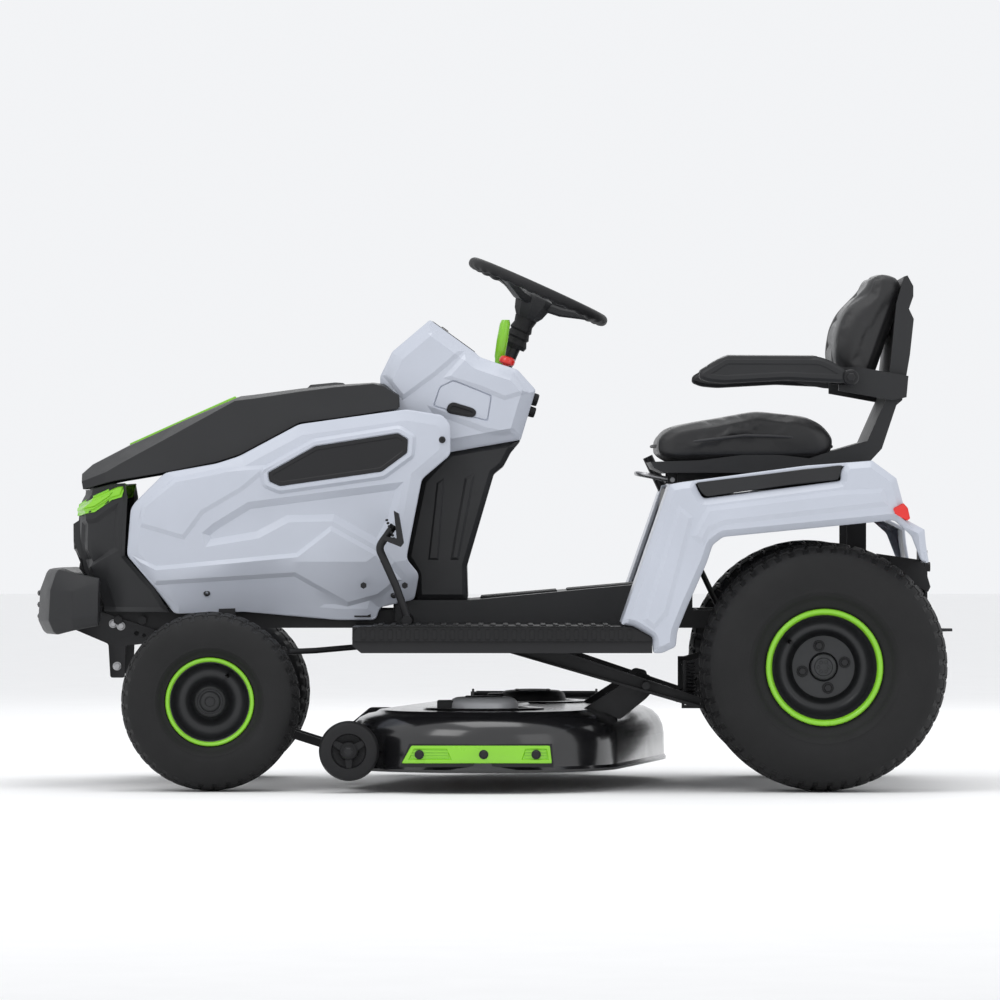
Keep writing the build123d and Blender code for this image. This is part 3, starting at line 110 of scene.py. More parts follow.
# ---------------------------------------------------------------- materials
def finish(name, color, roughness, metallic=0.0, grain=900, depth=0.0002, strength=0.25,
           vary=0.06, coat=0.0, sheen=0.0, pattern="noise", stretch=(1, 1, 1), specular=0.5):
    """A moulded, painted or sewn surface: mottled colour, uneven gloss and a fine grain."""
    material = bpy.data.materials.new(name)
    material.use_nodes = True
    tree = material.node_tree
    shader = tree.nodes["Principled BSDF"]
    shader.inputs["Metallic"].default_value = metallic
    shader.inputs["Coat Weight"].default_value = coat
    shader.inputs["Coat Roughness"].default_value = 0.12
    shader.inputs["Sheen Weight"].default_value = sheen
    shader.inputs["Specular IOR Level"].default_value = specular
    place = tree.nodes.new("ShaderNodeTexCoord")
    mapping = tree.nodes.new("ShaderNodeMapping")
    mapping.inputs["Scale"].default_value = stretch
    tree.links.new(place.outputs["Object"], mapping.inputs["Vector"])

    def noise(scale, detail, source=mapping):
        node = tree.nodes.new("ShaderNodeTexNoise")
        node.inputs["Scale"].default_value = scale
        node.inputs["Detail"].default_value = detail
        tree.links.new(source.outputs["Vector"], node.inputs["Vector"])
        return node.outputs["Fac"]

    ramp = tree.nodes.new("ShaderNodeValToRGB")
    tree.links.new(noise(7, 5), ramp.inputs["Fac"])
    low, high = ramp.color_ramp.elements
    low.position, high.position = 0.3, 0.7
    low.color = (*[channel * (1 - vary) for channel in color], 1)
    high.color = (*[min(1, channel * (1 + vary)) for channel in color], 1)
    tree.links.new(ramp.outputs["Color"], shader.inputs["Base Color"])
    gloss = tree.nodes.new("ShaderNodeMapRange")
    gloss.inputs["To Min"].default_value = max(0.02, roughness - 0.07)
    gloss.inputs["To Max"].default_value = min(1, roughness + 0.09)
    tree.links.new(noise(26, 6), gloss.inputs["Value"])
    tree.links.new(gloss.outputs["Result"], shader.inputs["Roughness"])
    bump = tree.nodes.new("ShaderNodeBump")
    bump.inputs["Strength"].default_value = strength
    bump.inputs["Distance"].default_value = depth
    if pattern == "cells":
        cells = tree.nodes.new("ShaderNodeTexVoronoi")
        cells.feature = "DISTANCE_TO_EDGE"
        cells.inputs["Scale"].default_value = grain
        tree.links.new(mapping.outputs["Vector"], cells.inputs["Vector"])
        tree.links.new(cells.outputs["Distance"], bump.inputs["Height"])
    else:
        tree.links.new(noise(grain, 3), bump.inputs["Height"])
    tree.links.new(bump.outputs["Normal"], shader.inputs["Normal"])
    return material


def make_materials():
    """Every finish of the machine and the stage, by name."""
    made = {
        "floor": finish("floor", (0.93, 0.93, 0.93), 0.8, grain=300, vary=0.01, specular=0.1),
        "grey_plastic": finish("grey_plastic", (0.50, 0.53, 0.60), 0.36, grain=1500, depth=0.0001,
                               strength=0.18, vary=0.03, coat=0.15),
        "dark_plastic": finish("dark_plastic", (0.021, 0.0215, 0.023), 0.46, grain=1300, depth=0.0003,
                               strength=0.5, vary=0.10, specular=0.32),
        "black_steel": finish("black_steel", (0.014, 0.014, 0.0155), 0.42, metallic=0.1, grain=800,
                              depth=0.0002, strength=0.3, specular=0.35),
        "deck_paint": finish("deck_paint", (0.008, 0.008, 0.009), 0.20, grain=160, depth=0.0002,
                             strength=0.12, coat=0.6),
        "green_paint": finish("green_paint", (0.235, 0.60, 0.022), 0.28, grain=900, depth=0.0001,
                              strength=0.12, vary=0.05, coat=0.4),
        "tyre": finish("tyre", (0.013, 0.013, 0.0135), 0.62, grain=420, depth=0.0005, strength=0.5,
                       vary=0.14, specular=0.25),
        "rim_paint": finish("rim_paint", (0.026, 0.027, 0.029), 0.38, metallic=0.3, grain=700, strength=0.2,
                            coat=0.1),
        "rubber": finish("rubber", (0.011, 0.011, 0.012), 0.58, grain=600, depth=0.0004, strength=0.5,
                         vary=0.12, specular=0.3),
        "vinyl": finish("vinyl", (0.010, 0.010, 0.011), 0.40, grain=420, depth=0.0006, strength=0.55,
                        vary=0.12, sheen=0.08, pattern="cells"),
        "silver": finish("silver", (0.60, 0.61, 0.63), 0.42, metallic=0.25, grain=500, depth=0.0003,
                         strength=0.3),
        "steel": finish("steel", (0.42, 0.42, 0.43), 0.36, metallic=0.9, grain=300, strength=0.3,
                        stretch=(1, 9, 1)),
        "red_plastic": finish("red_plastic", (0.72, 0.016, 0.010), 0.30, strength=0.1, coat=0.4),
        "lens": finish("lens", (0.86, 0.89, 0.93), 0.08, grain=240, depth=0.0004, strength=0.3, vary=0.02,
                       coat=0.7),
        "screen": finish("screen", (0.006, 0.006, 0.008), 0.10, strength=0.05, coat=0.8),
        "battery": finish("battery", (0.035, 0.036, 0.040), 0.5, grain=900, strength=0.4),
        "seam": finish("seam", (0.030, 0.030, 0.033), 0.55, grain=900, strength=0.3),
    }
    return made


MATERIALS = make_materials()


# ---------------------------------------------------------------- mesh helpers
def at(x, y, z):
    """A point of the machine in mm, with y from its middle plane, in the row frame."""
    return Vector((x * MM, MID + y * MM, z * MM))


def mesh_object(name, made):
    """A built shape as a linked object, its faces turned outwards."""
    mesh = bpy.data.meshes.new(name)
    bmesh.ops.recalc_face_normals(made, faces=made.faces)
    made.to_mesh(mesh)
    made.free()
    obj = bpy.data.objects.new(name, mesh)
    scene.collection.objects.link(obj)
    return obj


def piece(name, made, slot, body, stands_for=(), angle=32):
    """A finished mesh piece with its material, riding on its body."""
    obj = mesh_object(name, made)
    mesh = obj.data
    mesh.materials.append(MATERIALS[slot])
    mesh.shade_smooth()
    mesh.set_sharp_from_angle(angle=radians(angle))
    if stands_for:
        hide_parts(*stands_for)
    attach(obj, body)
    return obj


def rounded(outline, radius, steps=4, closed=True):
    """The outline with its corners turned into short curves."""
    count = len(outline)
    points = [Vector(point) for point in outline]
    out = []
    for index, here in enumerate(points):
        if not closed and index in (0, count - 1):
            out.append(here)
            continue
        before, after = points[index - 1], points[(index + 1) % count]
        reach = min(radius, 0.45 * (here - before).length, 0.45 * (after - here).length)
        start = here + (before - here).normalized() * reach
        end = here + (after - here).normalized() * reach
        for step in range(steps + 1):
            t = step / steps
            out.append(start * (1 - t) ** 2 + here * 2 * t * (1 - t) + end * t ** 2)
    return out


def inset(outline, distance):
    """The outline moved inwards by a distance, mitred at its corners."""
    points = [Vector(point) for point in outline]
    count = len(points)
    turn = sum(points[i - 1].x * points[i].y - points[i].x * points[i - 1].y for i in range(count))
    sign = 1 if turn > 0 else -1
    moved = []
    for index, here in enumerate(points):
        first = (here - points[index - 1]).normalized()
        second = (points[(index + 1) % count] - here).normalized()
        first_normal = Vector((-first.y, first.x)) * sign
        second_normal = Vector((-second.y, second.x)) * sign
        middle = (first_normal + second_normal).normalized()
        moved.append(here + middle * distance / max(0.35, middle.dot(first_normal)))
    return moved


def within(point, outline):
    """Whether a flat point is inside an outline."""
    inside = False
    for index, here in enumerate(outline):
        before = outline[index - 1]
        if (here[1] > point[1]) != (before[1] > point[1]):
            cross = here[0] + (point[1] - here[1]) * (before[0] - here[0]) / (before[1] - here[1])
            if point[0] < cross:
                inside = not inside
    return inside


def edge_distance(point, outline):
    """How far a flat point is from an outline's nearest edge."""
    nearest = 1e9
    for index, here in enumerate(outline):
        start, end = Vector(outline[index - 1]), Vector(here)
        along = end - start
        if along.length_squared < 1e-12:
            continue
        share = max(0, min(1, (Vector(point) - start).dot(along) / along.length_squared))
        nearest = min(nearest, (Vector(point) - start - along * share).length)
    return nearest


def divided(ring, longest):
    """A closed outline whose long edges are cut into shorter ones."""
    out = []
    for index, here in enumerate(ring):
        after = ring[(index + 1) % len(ring)]
        parts = max(1, int((after - here).length / longest))
        out += [here + (after - here) * (step / parts) for step in range(parts)]
    return out


def panel(outline, place, wall, reliefs=(), holes=(), spacing=24, lip=2.5, creases=()):
    """A moulded wall over a flat outline. place turns (u, v, height) in mm into a point.

    Each relief is an outline, its height and the width of its sloped edge. Creases are lines
    that the mesh keeps. The lip rounds the wall's outer edge over."""
    outline = [Vector(point) for point in outline]
    rings = [outline]
    if lip:
        rings += [inset(outline, lip * share) for share in (0.35, 1.0)]
    for shape, _, slope in reliefs:
        rings += [[Vector(point) for point in shape], inset(shape, slope)]
    rings += [[Vector(point) for point in hole] for hole in holes]
    points, edges = [], []
    for ring in rings:
        ring = divided(ring, spacing * 1.6)
        first = len(points)
        points += ring
        edges += [(first + i, first + (i + 1) % len(ring)) for i in range(len(ring))]
    for crease in creases:
        first = len(points)
        points += [Vector(point) for point in crease]
        edges += [(first + i, first + i + 1) for i in range(len(crease) - 1)]
    low_u, high_u = min(p.x for p in outline), max(p.x for p in outline)
    low_v, high_v = min(p.y for p in outline), max(p.y for p in outline)
    for u in np.arange(low_u + spacing / 2, high_u, spacing):
        for v in np.arange(low_v + spacing / 2, high_v, spacing):
            clear = min(edge_distance((u, v), ring) for ring in [*rings, *creases])
            if within((u, v), outline) and clear > spacing / 3:
                points.append(Vector((u, v)))
    verts, _, faces, *_ = delaunay_2d_cdt(points, edges, [], 0, 1e-4)

    def height(point):
        raised = 0
        for shape, lift, slope in reliefs:
            if within(point, shape):
                raised += lift * min(1, edge_distance(point, shape) / slope)
        if lip:
            depth = lip - min(lip, edge_distance(point, outline))
            raised -= lip - sqrt(max(0, lip * lip - depth * depth))
        return raised

    keep = []
    for face in faces:
        middle = sum((verts[i] for i in face), Vector((0, 0))) / len(face)
        if within(middle, outline) and not any(within(middle, hole) for hole in holes):
            keep.append(face)
    made = bmesh.new()
    used = sorted({i for face in keep for i in face})
    heights = {i: height(verts[i]) for i in used}
    front = {i: made.verts.new(place(verts[i].x, verts[i].y, heights[i])) for i in used}
    back = {i: made.verts.new(place(verts[i].x, verts[i].y, heights[i] - wall)) for i in used}
    count = {}
    for face in keep:
        made.faces.new([front[i] for i in face])
        made.faces.new([back[i] for i in reversed(face)])
        for a, b in zip(face, [*face[1:], face[0]]):
            count[(a, b)] = count.get((a, b), 0) + 1
    for a, b in [pair for pair in count if (pair[1], pair[0]) not in count]:
        made.faces.new((front[b], front[a], back[a], back[b]))
    return made


def loft(rows, closed_rows=True, capped=True):
    """A skin through rows of points, each with as many points as the next."""
    made = bmesh.new()
    grid = [[made.verts.new(point) for point in row] for row in rows]
    for first, second in zip(grid, grid[1:]):
        for index in range(len(first) - (0 if closed_rows else 1)):
            after = (index + 1) % len(first)
            made.faces.new((first[index], first[after], second[after], second[index]))
    if capped and closed_rows:
        made.faces.new(list(reversed(grid[0])))
        made.faces.new(grid[-1])
    return made


def frame_along(axis):
    """Two directions square to an axis."""
    axis = Vector(axis).normalized()
    side = axis.cross(Vector((0, 0, 1)) if abs(axis.z) < 0.9 else Vector((1, 0, 0))).normalized()
    return side, axis.cross(side)


def turned(centre, axis, profile, steps=72, wave=None):
    """A lathed shape: the profile is (offset along the axis, radius) in mm, open or closed."""
    axis = Vector(axis).normalized()
    side, other = frame_along(axis)
    rows = []
    for offset, radius in profile:
        row = []
        for step in range(steps):
            turn = 2 * pi * step / steps
            reach = radius + (wave(turn, offset, radius) if wave else 0)
            row.append(centre + (axis * offset + (side * cos(turn) + other * sin(turn)) * reach) * MM)
        rows.append(row)
    return rows


def close_rows(rows):
    """A skin through closed rows whose last row joins the first."""
    made = bmesh.new()
    grid = [[made.verts.new(point) for point in row] for row in rows]
    for first, second in zip(grid, [*grid[1:], grid[0]]):
        for index in range(len(first)):
            after = (index + 1) % len(first)
            made.faces.new((first[index], first[after], second[after], second[index]))
    return made


def join(*parts):
    """Several meshes in one."""
    made = bmesh.new()
    for part in parts:
        scratch = bpy.data.meshes.new("scratch")
        part.to_mesh(scratch)
        part.free()
        made.from_mesh(scratch)
        bpy.data.meshes.remove(scratch)
    return made


def tube(points, radius, steps=16, bend=0.0, closed=False):
    """A round bar or hose along points, its corners bent over a length in mm."""
    line = [Vector(point) for point in points]
    if bend:
        line = rounded(line, bend * MM, 5, closed)
    if not callable(radius):
        size = radius
        radius = lambda share: size
    count = len(line)
    rows = []
    side = None
    for index, here in enumerate(line):
        before = line[index - 1] if closed or index else here
        after = line[(index + 1) % count] if closed or index < count - 1 else here
        along = (after - before).normalized()
        if side is None:
            side = frame_along(along)[0]
        side = (side - along * side.dot(along)).normalized()
        other = along.cross(side)
        reach = radius(index / max(1, count - 1)) * MM
        rows.append([here + (side * cos(2 * pi * k / steps) + other * sin(2 * pi * k / steps)) * reach
                     for k in range(steps)])
    return close_rows(rows) if closed else loft(rows)


def slab(outline, place, low, high, holes=(), lip=1.5, spacing=400):
    """A solid of even thickness between two heights over an outline."""
    return panel(outline, lambda u, v, h: place(u, v, high + h), high - low, holes=holes, lip=lip,
                 spacing=spacing)


def along_y(u, v, h):
    """Flat outlines in x and z, their heights along y."""
    return at(u, h, v)


def disc(centre, radius, steps=48):
    """A round flat outline."""
    return [Vector((centre[0] + radius * cos(2 * pi * k / steps),
                    centre[1] + radius * sin(2 * pi * k / steps))) for k in range(steps)]


def bolt(centre, axis, across, head, washer=0.0):
    """A hexagon head with its chamfer and washer, standing on a point of a face."""
    axis = Vector(axis).normalized()
    profile = [(0, across * 0.577), (head * 0.8, across * 0.577), (head, across * 0.47)]
    rows = turned(centre, axis, profile, steps=6)
    made = loft(rows)
    if washer:
        made = join(made,
                    loft(turned(centre, axis, [(0, washer), (1.4, washer), (1.8, washer - 0.6)], steps=28)))
    return made


def screw(centre, axis, radius, height=2.5):
    """A round pan head with a hexagon socket."""
    axis = Vector(axis).normalized()
    dome = [(0, radius), (height * 0.5, radius), (height * 0.85, radius * 0.82), (height, radius * 0.52)]
    side, other = frame_along(axis)
    rows = turned(centre, axis, dome, steps=24)
    for depth in (height, height * 0.2):
        row = []
        for step in range(24):
            turn = 2 * pi * step / 24
            sector = (turn + pi / 6) % (pi / 3) - pi / 6
            reach = radius * 0.4 / cos(sector)
            row.append(centre + (axis * depth + (side * cos(turn) + other * sin(turn)) * reach) * MM)
        rows.append(row)
    return loft(rows)


# ---------------------------------------------------------------- tyres and rims
def tyre(name, node, body, section, lugs, lug):
    """A turf tyre: a lathed carcass whose tread blocks stand between their grooves."""
    low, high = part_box(node)
    centre = (low + high) / 2
    crown = (high.x - low.x) / 2 / MM
    half = (high.y - low.y) / 2 / MM
    section = [(offset, crown - drop) for offset, drop in section]
    full = section + [(-offset, radius) for offset, radius in reversed(section[1:])]

    def wave(turn, offset, radius):
        across = abs(offset) / half
        if radius < crown - lug * 4.2:
            return 0
        if across < 0.06 or 0.335 < across < 0.40 or 0.60 < across < 0.655:
            return -lug
        phase = (turn * lugs / (2 * pi) + (0.5 if offset > 0 else 0) + 0.5 * across) % 1
        groove = 0.14 if across < 0.655 else 0.22
        edge = min(phase, 1 - phase)
        depth = max(0, min(1, (groove - edge) / 0.05))
        fade = max(0, min(1, (radius - crown + lug * 4.2) / (lug * 1.2)))
        return -lug * depth * fade

    rows = turned(centre, (0, 1, 0), full, lugs * 10, wave)
    return piece(name, close_rows(rows), "tyre", body, (node,), angle=34)


FRONT_SECTION = [(0, 0), (4.4, 0.1), (4.8, 0.1), (15, 0.5), (24.9, 1.2), (25.3, 1.2), (29.8, 1.8),
                 (30.2, 1.8), (38, 3.6), (44.8, 5.8), (45.2, 5.8), (48.9, 7.4), (49.3, 7.4), (56, 11),
                 (62, 16), (66.5, 22), (70, 30), (73.2, 40), (74.6, 50), (75, 58), (74.2, 65), (72.2, 70),
                 (72.6, 72), (69.5, 76.5), (63, 82), (58.5, 86), (57, 90.5), (52, 94), (49, 97)]
REAR_SECTION = [(0, 0), (5.9, 0.1), (6.3, 0.1), (20, 0.6), (33.8, 1.6), (34.2, 1.6), (40.4, 2.4),
                (40.8, 2.4), (52, 4.8), (60.7, 7.4), (61.1, 7.4), (66.3, 9.6), (66.7, 9.6), (76, 15),
                (84, 21.5), (90, 29), (95, 39), (99, 52), (101, 66), (101.5, 79), (100.4, 90), (98, 97),
                (98.6, 99.5), (95, 107), (88, 113.5), (82, 119.5), (79.4, 127), (75, 134), (72, 139)]
FRONT_RIM = [(-54, 92), (-50, 86), (-20, 84), (20, 84), (49, 85), (54.5, 86), (55.5, 83), (54, 80),
             (46, 78.5), (26, 77), (12, 74), (4, 68), (1, 58), (2, 48), (9, 40.5), (24, 35), (33, 32),
             (35, 29), (35, 12), (-40, 12), (-40, 24), (-8, 27), (-8, 58), (-3, 70), (-10, 77), (-48, 79),
             (-55, 83)]
FRONT_RING = [(52, 86.5), (53.5, 89.5), (57, 90.6), (59.5, 89.4), (60.3, 86.8), (59.6, 84.4), (57, 82.6),
              (53, 80.5), (50, 80.5), (52, 83)]
REAR_RIM = [(-76, 121), (-71, 113), (-30, 111), (30, 111), (71, 113), (76, 114.5), (76, 109), (70, 105),
            (48, 102), (28, 99), (16, 94), (9, 86), (8, 77), (12, 70), (21, 66), (25, 63.5), (26, 60),
            (25, 30), (22, 27), (22, 14), (-46, 14), (-46, 26.5), (-13, 28), (-13, 74), (-6, 92),
            (-12, 106), (-66, 110), (-76, 115)]
REAR_RING = [(72, 114.5), (73.5, 118), (78, 119.4), (81.5, 118), (82.8, 114.8), (82, 111.6), (79, 109),
             (74, 106.5), (70, 107), (73, 110)]


def wheel(name, rim_node, tyre_node, body, side, rim_profile, ring_profile):
    """A pressed rim with its painted ring, on the tyre's centre."""
    low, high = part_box(tyre_node)
    centre = (low + high) / 2
    outward = (0, side, 0)
    piece(f"{name}_rim", close_rows(turned(centre, outward, rim_profile, 96)), "rim_paint", body,
          (rim_node,), angle=40)
    piece(f"{name}_ring", close_rows(turned(centre, outward, ring_profile, 96)), "green_paint", body,
          angle=50)
    return centre, Vector(outward)


def front_wheel(name, side):
    """The front wheel's cap, bearing lip and valve."""
    body = f"front_wheel_{name}"
    tyre(f"front_tread_{name}", f"front_tyre_{name}", body, FRONT_SECTION, 40, 3.6)
    centre, outward = wheel(f"front_wheel_{name}", f"front_rim_{name}", f"front_tyre_{name}", body, side,
                            FRONT_RIM, FRONT_RING)
    cap = loft(turned(centre, outward,
                      [(31, 22), (37, 22), (41, 20), (43, 16.5), (43.6, 11), (41.5, 9), (41.5, 1)], 48))
    lip = close_rows(turned(centre, outward, [(33, 31), (37, 30.4), (38.4, 28), (37, 25.5), (33, 25)], 48))
    piece(f"front_cap_{name}", join(cap, lip), "dark_plastic", body, angle=35)
    stem = [centre + (outward * a + Vector((0.55, 0, 0.83)) * r) * MM for a,
            r in ((6, 62), (18, 62), (30, 60), (38, 59))]
    piece(f"front_valve_{name}", tube(stem, lambda share: 4.2 - 1.4 * (share > 0.4), 20), "rubber", body)


def rear_wheel(name, side):
    """The rear wheel's plate bolts, screwed cap and valve."""
    body = f"rear_wheel_{name}"
    tyre(f"rear_tread_{name}", f"rear_tyre_{name}", body, REAR_SECTION, 52, 4.8)
    centre, outward = wheel(f"rear_wheel_{name}", f"rear_rim_{name}", f"rear_tyre_{name}", body, side,
                            REAR_RIM, REAR_RING)
    parts = []
    for turn in range(4):
        angle = radians(12 + 90 * turn)
        spot = centre + (outward * 25.6 + Vector((cos(angle), 0, sin(angle))) * 44) * MM
        parts.append(loft(turned(spot, outward, [(-1, 11.5), (3, 11.5), (4, 10.5), (4, 8)], 32)))
        parts.append(bolt(spot + outward * 3.5 * MM, outward, 15, 8))
    piece(f"rear_lugs_{name}", join(*parts), "black_steel", body, angle=35)
    cap = loft(turned(centre, outward,
                      [(14, 27), (30, 27), (34, 25.5), (36, 22), (36.6, 19), (35, 17.5), (35, 12)], 48))
    parts = [cap]
    for turn in range(6):
        angle = radians(60 * turn)
        spot = centre + (outward * 34.4 + Vector((cos(angle), 0, sin(angle))) * 10.5) * MM
        parts.append(loft(turned(spot, outward, [(0, 3.4), (2.4, 3.2), (3, 2.4)], 16)))
    piece(f"rear_cap_{name}", join(*parts), "rim_paint", body, angle=35)
    stem = [centre + (outward * a + Vector((-0.8, 0, 0.6)) * r) * MM for a,
            r in ((8, 84), (20, 84), (34, 83), (44, 82))]
    piece(f"rear_valve_{name}", tube(stem, lambda share: 4.6 - 1.5 * (share > 0.4), 20), "rubber", body)


for name, side in SIDES:
    front_wheel(name, side)
    rear_wheel(name, side)


# ---------------------------------------------------------------- bodywork
def path_place(path, build):
    """Panel coordinates along a bent line: u runs along it, v across and height along its normal.

    The line's own u starts at 0. build turns (first, second, v) into a point."""
    points = [Vector(point) for point in path]
    starts = [0]
    for before, here in zip(points, points[1:]):
        starts.append(starts[-1] + (here - before).length)
    normals = []
    for before, here in zip(points, points[1:]):
        along = (here - before).normalized()
        normals.append(Vector((-along.y, along.x)))

    def place(u, v, height):
        index = max(0, min(len(normals) - 1, sum(1 for start in starts[1:] if u > start + 1e-6)))
        normal = normals[index]
        for corner in range(1, len(normals)):
            if abs(u - starts[corner]) < 1e-3:
                joined = (normals[corner - 1] + normals[corner]).normalized()
                normal = joined / max(0.5, joined.dot(normals[corner]))
        span = starts[index + 1] - starts[index]
        along = (points[index + 1] - points[index]) * ((u - starts[index]) / span)
        spot = points[index] + along + normal * height
        return build(spot.x, spot.y, v)

    return place, starts


def interpolate(value, *pairs):
    """A value read off a broken line of pairs."""
    return float(np.interp(value, [pair[0] for pair in pairs], [pair[1] for pair in pairs]))


SIDE_PANEL = [(-681, 650), (-744, 588), (-752, 575), (-760, 480), (-704, 414), (-662, 359), (-518, 363),
              (-324, 346), (-245, 346), (-238, 372), (-166, 388), (-156, 441), (-182, 473), (-150, 637),
              (-91, 687), (-91, 749), (-107, 769), (-182, 781), (-403, 750), (-527, 684), (-574, 669)]
BADGE = [(-468, 651), (-370, 706), (-199, 733), (-177, 720), (-179, 690), (-232, 651), (-442, 621),
         (-465, 631)]
LOWER_BAND = [(-750, 480), (-697, 458), (-409, 485), (-337, 541), (-240, 487), (-191, 429), (-238, 392),
              (-304, 374), (-413, 436), (-702, 418)]
FLANK_RECESS = [(-604, 526), (-580, 546), (-508, 590), (-186, 632), (-205, 556), (-238, 496), (-334, 550),
                (-424, 548), (-486, 515), (-596, 497)]
SHOULDER = [(-660, 640), (-727, 586), (-738, 540), (-640, 512), (-600, 566), (-520, 612), (-452, 668),
            (-560, 660)]


def side_half(x, z):
    """The side panels' half width, drawn in low down to clear the turned tyres."""
    wide = interpolate(x, (-770, 216), (-520, 254), (-91, 254))
    return interpolate(z, (380, 214), (440, min(wide, 240)), (470, wide))


def side_panel(name, side):
    """A faceted side panel with its raised band, its hollow and its badge frame."""
    reliefs = [(inset(SIDE_PANEL, 1), 7, 22), (LOWER_BAND, 6, 9), (FLANK_RECESS, -9, 15), (SHOULDER, 4, 9),
               (rounded(inset(BADGE, -15), 8), 6, 7), (rounded(inset(BADGE, -1), 5), -6, 4)]
    place = lambda u, v, h: at(u, side * (side_half(u, v) + h), v)
    made = panel(rounded(SIDE_PANEL, 9, 3), place, 4, reliefs, spacing=22)
    piece(f"flank_{name}", made, "grey_plastic", "chassis", (f"side_panel_{name}",), angle=14)
    badge = panel(rounded(inset(BADGE, 1.5), 5), place, 5, [(rounded(inset(BADGE, 9), 4), -1.2, 2)],
                  spacing=60, lip=2)
    for vert in badge.verts:
        vert.co.y += side * 0.0112
    piece(f"badge_{name}", badge, "black_steel", "chassis", angle=25)
    heads = []
    for x, z in ((-108, 718), (-208, 398), (-283, 398), (-594, 402), (-706, 560)):
        heads.append(screw(place(x, z, 6), (0, side, 0), 7, 3))
    piece(f"flank_screws_{name}", join(*heads), "black_steel", "chassis", angle=35)


HOOD = [[(-853, 616, 172), (-856, 632, 171), (-857, 648, 140), (-859, 650, 0)],
        [(-806, 629, 205), (-803, 652, 200), (-835, 668, 128), (-839, 667, 0)],
        [(-784, 634, 209), (-776, 668, 206), (-763, 704, 138), (-763, 708, 0)],
        [(-682, 651, 222), (-656, 733, 217), (-648, 757, 158), (-646, 759, 0)],
        [(-574, 672, 233), (-536, 799, 225), (-529, 808, 172), (-529, 811, 0)],
        [(-527, 687, 236), (-500, 803, 228), (-492, 813, 176), (-490, 815, 0)],
        [(-403, 753, 240), (-400, 818, 232), (-400, 825, 184), (-400, 826, 0)],
        [(-330, 762, 242), (-328, 827, 235), (-331, 832, 190), (-331, 833, 0)],
        [(-262, 772, 243), (-250, 834, 237), (-250, 837, 194), (-250, 838, 0)],
        [(-240, 776, 244), (-229, 829, 237), (-228, 834, 194), (-228, 835, 0)],
        [(-203, 781, 244), (-197, 808, 238), (-197, 812, 194), (-197, 813, 0)],
        [(-199, 782, 244), (-196, 786, 239), (-196, 786, 194), (-196, 786, 0)]]


def hood():
    """A faceted shell: ridges along both sides, a nose, a lifting grip and a painted inlay."""
    rows = []
    for low, ridge, shoulder, centre in HOOD:
        half = [low, ridge, shoulder, (centre[0], centre[1], 60)]
        left = [at(x, -y, z) for x, z, y in half]
        rows.append(left + [at(x, y, z) for x, z, y in reversed(half)])
    made = loft(rows, closed_rows=False)
    made.faces.new(list(made.verts)[:len(rows[0])])
    obj = piece("bonnet", made, "dark_plastic", "hood", ("hood_shell",), angle=12)
    wall = obj.modifiers.new("wall", "SOLIDIFY")
    wall.thickness = 4 * MM
    wall.offset = -1
    soften(obj, 3.2, 11)
    spine = [(-768, 705), (-529, 811), (-400, 826)]
    place, starts = path_place(spine, lambda x, z, v: at(x, v, z))
    total = starts[1]
    inlay = [(6, -34), (total - 30, -78), (total - 8, -64), (total - 40, -20), (60, -8), (60, 8),
             (total - 40, 20), (total - 8, 64),
             (total - 30, 78), (6, 34)]
    piece("bonnet_inlay", panel(rounded(inlay, 6, 3), lambda u, v, h: place(u, v, h + 5), 8, spacing=60),
          "green_paint", "hood")
    grip = [(-392, 826), (-384, 834), (-332, 839), (-316, 838), (-308, 833)]
    rows = [[at(x, y, z - drop) for x, z in grip] + [at(-308, y, 826), at(-392, y, 821)] for y, drop in
            ((-96, 6), (-90, 0), (-20, 0), (20, 0), (90, 0), (96, 6))]
    soften(piece("bonnet_grip", loft(rows), "dark_plastic", "hood", angle=20), 1.8, 20)


def soften(obj, width, angle):
    """Rounds a piece's sharp edges."""
    edge = obj.modifiers.new("edge", "BEVEL")
    edge.width = width * MM
    edge.segments = 3
    edge.limit_method = "ANGLE"
    edge.angle_limit = radians(angle)
    edge.harden_normals = True
    obj.data.shade_smooth()
    return obj


for name, side in SIDES:
    side_panel(name, side)
hood()


NOSE = [(-664, -219), (-700, -217), (-764, -212), (-802, -204), (-846, -180), (-864, -124), (-868, 0),
        (-864, 124), (-846, 180), (-802, 204), (-764, 212), (-700, 217), (-664, 219)]
nose_place, nose_starts = path_place(NOSE, lambda x, y, v: (x, y, v))
NOSE_MIDDLE = nose_starts[6]


def nose_point(u, v, h):
    """A point of the nose: u runs along it from its middle, v is the height, h stands out."""
    x, y, z = nose_place(NOSE_MIDDLE + u, v, -h)
    back = interpolate(z, (362, 50), (420, 32), (452, 8), (480, 14), (492, -2), (560, -3), (584, 0),
                       (602, 10), (630, 30))
    return at(x + back * interpolate(x, (-868, 1), (-760, 0)), y, z)


